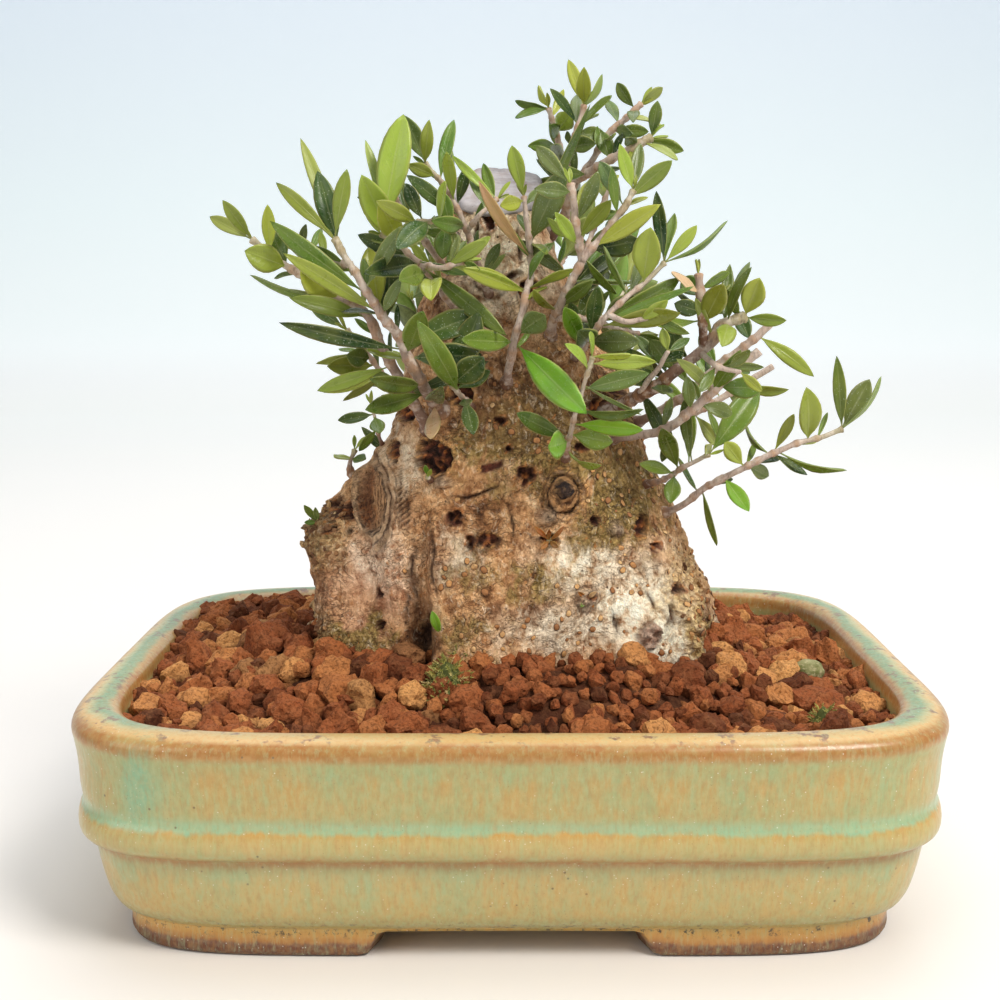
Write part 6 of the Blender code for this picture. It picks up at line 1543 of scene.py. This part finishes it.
def add_twig(growth, curve, radii, surface, joints, bare_end, ruddy, draw):
    """A twig along a curve: it flares into the bark, swells at its leaf joints and ends rounded."""
    total = sum((b - a).length for a, b in zip(curve, curve[1:]))
    count = max(12, int(total / 0.55))
    rings, blade, colour = [], [], []
    side = Vector((1, 0, 0.1))
    phase = draw.uniform(0, 50)
    for k in range(count + 1):
        share = k / count
        point, along = point_along(curve, share)
        side = (side - along * side.dot(along)).normalized()
        other = along.cross(side)
        free = min(1.0, share * total / 6.0) * min(1.0, (1 - share) * total / 3.0)
        sway = Vector((noise.noise(Vector((share * total * 0.22, phase, 0))), 0,
                       noise.noise(Vector((share * total * 0.22, 0, phase)))))
        point = point + sway * 0.3 * free
        radius = radii[0] + (radii[1] - radii[0]) * share
        out = (point - surface).length if surface else 99.0
        flare = 1.0 + 0.75 * math.exp(-(out / 1.3) ** 2)
        swell = max([math.exp(-((share - j) * total / 0.5) ** 2) for j in joints] + [0.0])
        rings.append([])
        for n in range(TWIG_SIDES):
            a = 2 * math.pi * n / TWIG_SIDES
            spot = Vector((math.cos(a) * 1.3, math.sin(a) * 1.3, share * total * 0.35 + phase))
            rough = 1.0 + 0.1 * noise.noise(spot) + 0.1 * noise.noise(spot * 3.1)
            reach = radius * flare * rough + 0.24 * swell
            rings[-1].append(point + (side * math.cos(a) + other * math.sin(a)) * reach)
            age = min(1.0, max(math.exp(-(out / 4.0) ** 2), ruddy * (1.25 - 1.2 * share)))
            tone = [g + (r - g) * age for g, r in zip((0.56, 0.44, 0.37), (0.14, 0.06, 0.03))]
            tone = [t + (c - t) * 0.65 * swell for t, c in zip(tone, (0.43, 0.23, 0.11))]
            if not bare_end and surface is not None:
                green = max(0.0, share - 0.8) / 0.2 * 0.6
                tone = [t + (c - t) * green for t, c in zip(tone, (0.33, 0.35, 0.17))]
            colour.append((*tone, 1.0))
            blade.append((share, n / TWIG_SIDES, 0.0, 1.0))
    steps = ((0.96, 0.05), (0.9, 0.08)) if bare_end else ((0.85, 0.25), (0.5, 0.5))
    for shrink, onward in steps:
        rings.append([point + along * onward * radius + (p - point) * shrink for p in rings[count]])
        colour += [(0.42, 0.215, 0.095, 1.0) if bare_end else colour[-1]] * TWIG_SIDES
        blade += [(1.0, n / TWIG_SIDES, 0.0, 1.0) for n in range(TWIG_SIDES)]
    verts = [p for ring in rings for p in ring]
    growth.add(verts, ring_faces(len(rings), TWIG_SIDES), 0, blade, colour)


def add_leaf(growth, base, tip, width, towards, roll, arch, tone, draw):
    """A leathery leaf on a short stalk: folded a little along its midrib, curved and waved."""
    axis = (tip - base).normalized()
    length = (tip - base).length
    across = axis.cross(towards)
    if across.length < 0.2:
        across = axis.cross(Vector((0, 0, 1)))
    across.normalize()
    normal = across.cross(axis)
    across, normal = (across * math.cos(roll) + normal * math.sin(roll),
                      normal * math.cos(roll) - across * math.sin(roll))
    fold = draw.uniform(0.12, 0.42)
    curl = draw.uniform(-0.1, 0.08)
    twist = draw.uniform(-0.5, 0.5)
    wave = draw.uniform(0.0, 0.14)
    phase = draw.uniform(0, 6.28)
    peak = draw.uniform(1.0, 1.32)
    shade = draw.uniform(0.62, 1.3)
    warm = draw.uniform(-0.12, 0.16)
    red, green, blue, kind = LEAF_TONES[tone]
    main = (red * shade * (1 + warm), green * shade, blue * shade * (1 - warm), kind)
    verts, blade, colour = [], [], []
    for t in LEAF_STATIONS:
        u = max(0.0, (t - 0.09) / 0.91)
        shape = (4.0 * u ** peak * (1.0 - u ** peak)) ** 0.88 if u > 0 else 0.0
        half = max(0.28, width * 0.95 * shape) / 2
        bend = arch * length * math.sin(math.pi * t) + curl * length * (t ** 3 - t)
        middle = base + axis * length * t + normal * bend
        turn = twist * (t - 0.45)
        wide = across * math.cos(turn) + normal * math.sin(turn)
        up = normal * math.cos(turn) - across * math.sin(turn)
        for n, v in enumerate(LEAF_ACROSS):
            under = n >= 7
            thick = 0.42 * (1 - 0.65 * abs(v)) * min(1.0, 0.4 + shape)
            lift = fold * abs(v) * half - 0.1 * half * abs(v) ** 4
            lift += wave * half * v * math.sin(t * 9 + phase)
            if n == 3:
                lift -= 0.1 * min(1.0, shape * 2)
            if under:
                lift -= thick + 0.1 * (1 - abs(v))
            verts.append(middle + wide * v * half + up * lift)
            blade.append((t, v * 0.5 + 0.5, 1.0 if under else 0.0, 1.0))
            colour.append(main)
    verts.append(tip)
    blade.append((1.0, 0.5, 0.0, 1.0))
    colour.append(main)
    count = len(LEAF_ACROSS)
    rings = len(LEAF_STATIONS)
    faces = ring_faces(rings, count, close_ends=False)
    faces.append(tuple(reversed(range(count))))
    last = len(verts) - 1
    ring = (rings - 1) * count
    faces += [(ring + n, ring + (n + 1) % count, last) for n in range(count)]
    growth.add(verts, [tuple(reversed(face)) for face in faces], 1, blade, colour)


def fill_in(growth, curve, surface, bare_end, trunk_tree, draw, skip):
    """Small opposite leaves all along a twig, kept out of the bark, and a bud at its end."""
    total = sum((b - a).length for a, b in zip(curve, curve[1:]))
    shares = []
    turn = draw.uniform(0, math.pi)
    spots = [(k + draw.uniform(0.3, 0.7)) * FILL_PITCH / total for k in range(int(total / FILL_PITCH))]
    if not bare_end:
        spots.append(BUD_SHARE)
    for share in spots:
        base, along = point_along(curve, share)
        if surface and (base - surface).length < 4.0:
            continue
        turn += math.pi / 2 + draw.uniform(-0.3, 0.3)
        bud = share == BUD_SHARE
        for half in (0, 1):
            angle = turn + half * math.pi + draw.uniform(-0.3, 0.3)
            lean = 0.35 if bud else draw.uniform(0.65, 1.15)
            length = draw.uniform(2.4, 4.2) if bud else draw.uniform(4.5, 9.0)
            aim = lean_out(along, angle, lean).normalized()
            tip = base + aim * length
            near, normal, _, _ = trunk_tree.find_nearest(tip)
            deep = (tip - near).dot(normal) < 0.8
            if deep or (aim.y < -0.35 and not bud) or tip.z > FILL_TOP or draw.random() < skip:
                continue
            tone = "young" if bud else draw.choice(FILL_TONES)
            towards = Vector((draw.uniform(-0.5, 0.5), -1, draw.uniform(0.1, 0.9)))
            roll, arch = draw.uniform(-0.6, 0.6), draw.uniform(-0.08, 0.12)
            add_leaf(growth, base, tip, length * draw.uniform(0.2, 0.31), towards, roll, arch, tone, draw)
            shares.append(share)
    return shares


def twig_skin():
    """Grey twigs, streaked lengthwise, ruddier with age and amber at the joints."""
    f = Finish("twig_skin", 0.7)
    tint = f.read("growth_colour", 0)
    streak = f.streaks((2400, 2400, 500), 3.0, 0.6)
    patches = f.grain(500, 4.0, 0.6)
    colour = f.mix(f.level(streak, 0.52, 0.66, 0.0, 0.8), tint, f.mix(0.6, tint, (0.09, 0.05, 0.035)))
    colour = f.mix(f.level(patches, 0.5, 0.64, 0.0, 0.8), colour, f.mix(0.6, colour, (0.78, 0.7, 0.62)))
    dots = f.times(f.level(f.cells(900), 0.22, 0.12), f.level(f.grain(240, 1.0), 0.48, 0.55))
    colour = f.mix(f.times(dots, 0.6), colour, (0.55, 0.38, 0.22))
    return f.finish(Base_Color=colour, Normal=f.relief(f.plus(streak, patches), 0.6, 0.25))


def leaf_skin():
    """Glossy green above with a pale midrib, fine veins and specks, and greyer underneath."""
    f = Finish("leaf_skin", 0.36)
    blade = f.node("ShaderNodeSeparateColor", out=0, Color=f.read("blade", 0)).node.outputs
    along, across, under = blade[0], f.maths("ABSOLUTE", f.level(blade[1], 0.0, 1.0, -1.0, 1.0)), blade[2]
    main = f.read("growth_colour", 0)
    kind = f.read("growth_colour", 3)
    cloud = f.grain(260, 3.0, 0.55)
    fine = f.grain(1500, 3.0, 0.6)
    colour = f.mix(f.level(cloud, 0.35, 0.65, 0.0, 0.5), main, f.mix(0.3, main, (0.4, 0.44, 0.07)))
    slant = f.plus(f.times(along, 9.0), f.times(across, -1.6))
    vein = f.level(f.maths("ABSOLUTE", f.minus(f.maths("FRACT", slant), 0.5)), 0.08, 0.0)
    vein = f.times(vein, f.level(across, 0.85, 0.5))
    colour = f.mix(f.times(vein, 0.07), colour, f.mix(0.5, colour, (0.5, 0.58, 0.26)))
    rib = f.level(across, 0.09, 0.02)
    rib = f.times(rib, f.level(along, 1.0, 0.3, 0.1, 0.45))
    colour = f.mix(rib, colour, f.mix(0.55, main, (0.55, 0.58, 0.28)))
    edge = f.level(across, 0.84, 0.97, 0.0, 0.75)
    colour = f.mix(edge, colour, f.mix(0.6, colour, (0.58, 0.55, 0.2)))
    stalk = f.level(along, 0.13, 0.05, 0.0, 0.7)
    colour = f.mix(stalk, colour, (0.38, 0.38, 0.15))
    specks = f.level(f.cells(1900), 0.22, 0.12)
    dark_specks = f.times(specks, f.level(kind, 0.3, 0.0, 0.0, 0.35))
    pale_specks = f.times(specks, f.level(kind, 0.1, 0.9, 0.08, 0.42))
    colour = f.mix(dark_specks, colour, (0.09, 0.12, 0.025))
    colour = f.mix(pale_specks, colour, (0.52, 0.58, 0.46))
    below = f.mix(f.level(fine, 0.35, 0.65, 0.35, 0.65), main, (0.29, 0.34, 0.12))
    colour = f.mix(f.times(under, 0.85), colour, below)
    rough = f.plus(f.times(under, 0.22), f.level(cloud, 0.3, 0.7, 0.24, 0.38))
    height = f.minus(f.times(fine, 0.35), f.times(vein, 0.12))
    height = f.minus(height, f.times(rib, 0.8))
    f.shader.inputs["Specular IOR Level"].default_value = 0.36
    f.shader.inputs["Coat Weight"].default_value = 0.06
    return f.finish(Base_Color=colour, Roughness=rough, Normal=f.relief(height, 0.55, 0.25))


twig_finish = twig_skin()
leaf_finish = leaf_skin()


def grown_piece(name, growth):
    piece = new_piece(name, growth.verts, growth.faces, twig_finish)
    piece.data.materials.append(leaf_finish)
    piece.data.polygons.foreach_set("material_index", growth.finish)
    add_numbers(piece, "blade", growth.blade, "FLOAT_COLOR")
    add_numbers(piece, "growth_colour", growth.colour, "FLOAT_COLOR")
    return piece


def make_shoots():
    """All the shoots. Each leaf's tip is matched to the solid's, so that both have the same leaves."""
    coarse = [trunk_ring(TRUNK_FOOT + (TRUNK_TOP - TRUNK_FOOT) * k / 22, 30)[0] for k in range(23)]
    rings = np.concatenate(coarse)
    trunk_tree = BVHTree.FromPolygons([tuple(p) for p in rings], ring_faces(23, 30))
    draw = random.Random(BACK_SEED)
    looks = random.Random(LOOKS_SEED)
    for name, stems in SHOOTS.items():
        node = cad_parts[name]
        slim = TWIG_SLIM.get(name, TWIG_SLIM_REST)
        skip = FILL_SKIP_RIGHT if "right" in name else FILL_SKIP
        if name == "shoot_front_twig":
            skip = 1.0
        tips = KDTree(len(node.data.vertices))
        for k, vert in enumerate(node.data.vertices):
            tips.insert(vert.co / MM, k)
        tips.balance()
        growth = Growth()
        at_back, bare_end = name.startswith("shoot_back"), name in BARE_ENDS
        routes = []
        for number, (start, end, route, _) in enumerate(stems):
            curve = smooth_route(route, 1 if len(route) > 4 else 2)
            surface = None
            if not number:
                surface, curve = leave_trunk(curve, trunk_tree)
            routes.append((curve, surface))
        for number, (curve, surface) in enumerate(routes):
            start, end, route, rows = stems[number]
            towards = Vector((0, -1, 0))
            reach = TIP_REACH
            if at_back:
                rows = back_leaves(curve, draw)
                towards = Vector((0, 0.8, 0.6))
                reach = BACK_TIP_REACH
            for share, x, y, z, seen_width, tone in rows:
                width = max(seen_width, FLAT_ON_WIDTH)
                side = draw.choice((-1, 1))
                roll = side * math.acos(seen_width / width) + draw.uniform(-0.3, 0.3)
                arch = draw.uniform(-0.06, 0.1)
                base, _ = point_along(curve, share)
                best = None
                for depth, short in LEAF_TRIES:
                    wanted = base + (Vector((x, y + depth, z)) - base) * short
                    tip, _, distance = tips.find(wanted)
                    if distance < reach and (best is None or distance < best[0] - 0.05):
                        best = (distance, tip)
                if best:
                    add_leaf(growth, base, best[1].copy(), width, towards, roll, arch, tone, looks)
            fine = smooth_route(route, 8)
            shares = [row[0] for row in rows]
            for _ in range(BACK_FILL if at_back else 1):
                shares += fill_in(growth, fine, surface, bare_end, trunk_tree, looks, skip)
            ruddy = RUDDY.get(name, RUDDY_REST)
            add_twig(growth, fine, (start * slim, end * slim), surface, shares, bare_end, ruddy, looks)
        for start, end, route in MORE_TWIGS.get(name, []):
            fine = smooth_route(route, 8)
            shares = fill_in(growth, fine, None, False, trunk_tree, looks, skip)
            routes.append((fine, None))
            add_twig(growth, fine, (start, end), None, shares, False, 0.0, looks)
        for number, share, x, y, z, width, tone in MORE_LEAVES.get(name, []):
            fine = routes[number][0]
            if number < len(stems):
                fine = smooth_route(stems[number][2], 8)
            base, _ = point_along(fine, share)
            roll, arch = looks.uniform(-0.35, 0.35), looks.uniform(-0.08, 0.1)
            add_leaf(growth, base, Vector((x, y, z)), width, Vector((0, -1, 0)), roll, arch, tone, looks)
        shoot = grown_piece(name, growth)
        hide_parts(name)
        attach(shoot, "root")


make_shoots()

# Moss. Small cushions of moss grow at the trunk's foot and near the rim: each is a low mound set
# with upright mossy stems by Geometry Nodes, yellow-green and paler at their tips.
MOSS_MOUNDS = [(-11.2, -33.0, 3.4, 5.0, 3.0), (-9.6, -26.6, 2.6, 2.4, 2.6), (54.6, -38.4, 2.4, 2.2, 3.2)]
MOSS = {"Spacing": 0.6, "Density": 3.0, "Smallest": 0.8, "Largest": 1.7, "Tilt": 0.4, "Seed": 4}


def moss_green():
    f = Finish("moss_green", 0.8)
    shade, tip = f.read("shade"), f.read("rim")
    colour = f.ramp(shade, [(0.0, (0.07, 0.085, 0.012)), (0.4, (0.21, 0.23, 0.03)),
                            (0.7, (0.38, 0.36, 0.07)), (1.0, (0.62, 0.48, 0.23))])
    colour = f.mix(f.level(tip, 0.1, 1.0, 0.0, 0.7), colour, (0.62, 0.56, 0.2))
    return f.finish(Base_Color=colour)


def make_moss_stem(number, finish):
    """One moss stem: pointed leaflets in a spiral, closing up to a tip."""
    draw = random.Random(300 + number)
    verts, faces, rims = [], [], []
    for k in range(11):
        turn, rise = k * 2.4 + draw.uniform(-0.3, 0.3), 0.1 + 0.085 * k
        reach = 0.42 * (1 - 0.55 * k / 10) * draw.uniform(0.8, 1.2)
        out = Vector((math.cos(turn), math.sin(turn), 0))
        side = Vector((-out.y, out.x, 0)) * 0.085
        root = Vector((0, 0, rise))
        points = [root + side, root - side, root + out * 0.05 + Vector((0, 0, 0.1)),
                  root + out * reach + Vector((0, 0, 0.26 + 0.02 * k))]
        first = len(verts)
        verts += points
        rims += [0.0, 0.0, 0.2, 1.0]
        faces += [tuple(first + n for n in f) for f in ((0, 1, 3), (1, 2, 3), (2, 0, 3), (0, 2, 1))]
    stem = new_piece(f"moss_stem_{number}", verts, faces, finish, smooth=False)
    add_numbers(stem, "rim", rims)
    bpy.context.scene.collection.objects.unlink(stem)
    return stem


def make_mounds(finish):
    verts, faces = [], []
    for x, y, wide, deep, tall in MOSS_MOUNDS:
        rings = []
        for share in np.linspace(1.0, 0.05, 9):
            ring = []
            for k in range(28):
                a = 2 * math.pi * k / 28
                grow = 1 + 0.25 * noise.noise((math.cos(a) * 1.4 + x, math.sin(a) * 1.4, y))
                px, py = x + wide * share * grow * math.cos(a), y + deep * share * grow * math.sin(a)
                ground = soil_height(px, py)
                ring.append((px, py, ground + tall * (1 - share ** 2) - 1.6 * share))
            rings.append(ring)
        start = len(verts)
        verts += [p for ring in rings for p in ring]
        faces += [tuple(start + k for k in face) for face in ring_faces(9, 28)]
    mounds = new_piece("moss_mounds", verts, faces, finish)
    add_numbers(mounds, "moss_ground", [1.0] * len(verts))
    return mounds


moss_finish = moss_green()
moss_mounds = make_mounds(moss_finish)
stems = [make_moss_stem(number, moss_finish) for number in range(BIT_SHAPES)]
moss = grow_from(moss_mounds, "moss", bit_tree("set_moss", "moss_ground"), stems, moss_finish, MOSS)
for piece in (moss_mounds, moss):
    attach(piece, "root")

# Mossy pebble. One grey-green stone lies among the granules on the right, furred with thin moss.
PEBBLE_PLACE = (58.2, -9.6, 38.6)
PEBBLE_SIZE = (3.3, 2.6, 2.1)


def pebble_skin():
    f = Finish("pebble_skin", 0.85)
    patches = f.grain(480, 4.0, 0.6)
    colour = f.mix(f.level(patches, 0.4, 0.6), (0.3, 0.29, 0.13), (0.14, 0.15, 0.04))
    colour = f.mix(f.level(f.grain(1500, 3.0), 0.54, 0.66, 0.0, 0.7), colour, (0.52, 0.46, 0.27))
    return f.finish(Base_Color=colour, Normal=f.relief(f.grain(1300, 5.0, 0.7), 0.9, 0.5))


def make_pebble():
    shape = bmesh.new()
    bmesh.ops.create_icosphere(shape, subdivisions=4, radius=1.0)
    for vert in shape.verts:
        rough = 1 + 0.16 * noise.noise(vert.co * 1.3) + 0.05 * noise.noise(vert.co * 4.0)
        vert.co = Vector([(p + c * s * rough) for p, c, s in zip(PEBBLE_PLACE, vert.co, PEBBLE_SIZE)])
    verts = [tuple(v.co) for v in shape.verts]
    faces = [tuple(v.index for v in face.verts) for face in shape.faces]
    shape.free()
    return new_piece("mossy_pebble", verts, faces, pebble_skin())


pebble = make_pebble()
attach(pebble, "root")

# Bark sprouts. A few buds on the old bark have broken into single small leaves on short stalks.
# Each is a stalk's foot and start, then leaves as (tip x, y, z, width, tone).
SPROUTS = [
    ((-12.3, -21.5, 47.6), (-12.6, -25.0, 49.4), [
        (-14.1, -26.6, 54.4, 1.9, "bright"), (-11.6, -25.8, 50.6, 0.8, "young"),
    ]),
    ((-14.6, -17.5, 77.0), (-15.0, -20.6, 78.0), [
        (-15.4, -22.2, 80.3, 1.1, "bright"), (-14.3, -22.0, 79.6, 0.9, "young"),
    ]),
    ((-34.0, -4.0, 66.0), (-37.0, -7.5, 67.4), [
        (-39.4, -9.0, 71.0, 1.5, "mid"), (-37.2, -9.4, 70.6, 1.3, "grey"),
        (-39.6, -7.6, 67.4, 1.2, "mid"),
    ]),
    ((7.2, -19.0, 66.4), (7.2, -22.6, 66.6), [
        (4.4, -24.6, 69.6, 1.1, "scale"), (9.8, -24.6, 69.7, 1.0, "scale"),
        (7.1, -25.0, 69.0, 0.9, "scale"), (5.6, -24.4, 65.4, 1.3, "scale"),
        (8.8, -24.4, 65.6, 1.2, "scale"),
    ]),
    ((14.2, -18.0, 55.4), (14.2, -22.4, 55.7), [
        (12.5, -23.6, 57.2, 0.9, "scale"), (15.8, -23.6, 57.3, 0.9, "brown"),
        (13.0, -23.8, 54.4, 0.9, "mid"), (15.4, -23.6, 54.3, 0.9, "scale"),
    ]),
]


def make_sprouts():
    growth = Growth()
    draw = random.Random(12)
    for foot, start, leaves in SPROUTS:
        curve = smooth_route([foot, tuple((a + b) / 2 for a, b in zip(foot, start)), start], 6)
        add_twig(growth, curve, (0.42, 0.3), Vector(foot), [0.95], False, 0.4, draw)
        for x, y, z, width, tone in leaves:
            add_leaf(growth, Vector(start), Vector((x, y, z)), width, Vector((0, -1, 0)),
                     draw.uniform(-0.3, 0.3), draw.uniform(-0.05, 0.1), tone, draw)
    return grown_piece("bark_sprouts", growth)


sprouts = make_sprouts()
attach(sprouts, "root")

# Setting. A plain pale floor that rises behind into a backdrop, which glows with painted light, soft studio
# lights, and the camera a little above the pot's rim, straight in front.
CAMERA_PLACE = (-1.8, -274.0, 113.0)
CAMERA_PITCH = 8.8
LENS = 50.4
AIR_STRENGTH = 0.37


def glowing_backdrop():
    f = Finish("glowing_backdrop", 0.85)
    height = f.axis(2)
    away = f.axis(1)
    # Painted light: the backdrop glows, the floor more the further back it lies and the wall more the higher
    # it rises, where the lamps' light falls off.
    far = f.ramp(f.level(away, 0.0, 1.4), [
        (0.0, (0.0, 0.0, 0.0)), (0.1, (0.03, 0.03, 0.03)), (0.3, (0.12, 0.13, 0.13)),
        (0.64, (0.27, 0.3, 0.3)), (1.0, (0.27, 0.3, 0.3)),
    ])
    glow = f.ramp(f.level(height, 0.0, 0.44), [
        (0.0, (0.27, 0.3, 0.3)), (0.05, (0.25, 0.28, 0.29)), (0.16, (0.21, 0.27, 0.28)),
        (0.45, (0.16, 0.25, 0.28)), (1.0, (0.08, 0.17, 0.26)),
    ])
    glow = f.mix(f.level(height, 0.0, 0.02), far, glow)
    f.shader.inputs["Emission Strength"].default_value = 1.0
    f.shader.inputs["Specular IOR Level"].default_value = 0.1
    paint = f.mix(f.level(height, 0.0, 0.05), (0.8, 0.775, 0.75), (0.9, 0.9, 0.9))
    return f.finish(Base_Color=paint, Emission_Color=glow)


def make_backdrop():
    profile = [(-1800.0, 0.0), (900.0, 0.0)]
    profile += [(900.0 + 500.0 * math.sin(a), 500.0 - 500.0 * math.cos(a))
                for a in np.linspace(0.1, math.pi / 2, 16)]
    profile.append((1400.0, 2600.0))
    verts = [(x, y, z - 0.05) for y, z in profile for x in (-2600.0, 2600.0)]
    faces = [(2 * k, 2 * k + 1, 2 * k + 3, 2 * k + 2) for k in range(len(profile) - 1)]
    return new_piece("backdrop", verts, faces, glowing_backdrop())


def add_light(name, place, aim, size, power, colour=(1.0, 1.0, 1.0)):
    lamp = bpy.data.lights.new(name, "AREA")
    lamp.shape = "RECTANGLE"
    lamp.size, lamp.size_y = size
    lamp.energy = power
    lamp.color = colour
    held = bpy.data.objects.new(name, lamp)
    held.location = place
    held.rotation_euler = (Vector(aim) - Vector(place)).to_track_quat("-Z", "Y").to_euler()
    bpy.context.scene.collection.objects.link(held)


backdrop = make_backdrop()
add_light("key_light", (0.5, -0.5, 0.8), (0.0, 0.0, 0.07), (0.38, 0.38), 9.2, (1.0, 0.955, 0.89))
add_light("fill_light", (-0.65, -0.5, 0.45), (0.0, 0.0, 0.07), (0.6, 0.6), 2.2, (1.0, 0.97, 0.93))
add_light("top_light", (0.05, 0.25, 0.95), (0.0, 0.0, 0.08), (0.8, 0.8), 4.5, (0.97, 0.98, 1.0))
world = bpy.data.worlds.new("studio_air")
world.use_nodes = True
air = world.node_tree.nodes["Background"].inputs
air["Color"].default_value = (1.0, 0.985, 0.965, 1.0)
air["Strength"].default_value = AIR_STRENGTH
bpy.context.scene.world = world

lens = bpy.data.cameras.new("camera")
lens.lens = LENS
lens.sensor_width = 36.0
lens.clip_start = 0.01
lens.clip_end = 20.0
camera = bpy.data.objects.new("camera", lens)
camera.location = [c * MM for c in CAMERA_PLACE]
camera.rotation_euler = (math.radians(90.0 - CAMERA_PITCH), 0.0, 0.0)
bpy.context.scene.collection.objects.link(camera)
bpy.context.scene.camera = camera
bpy.context.scene.view_settings.view_transform = "Standard"
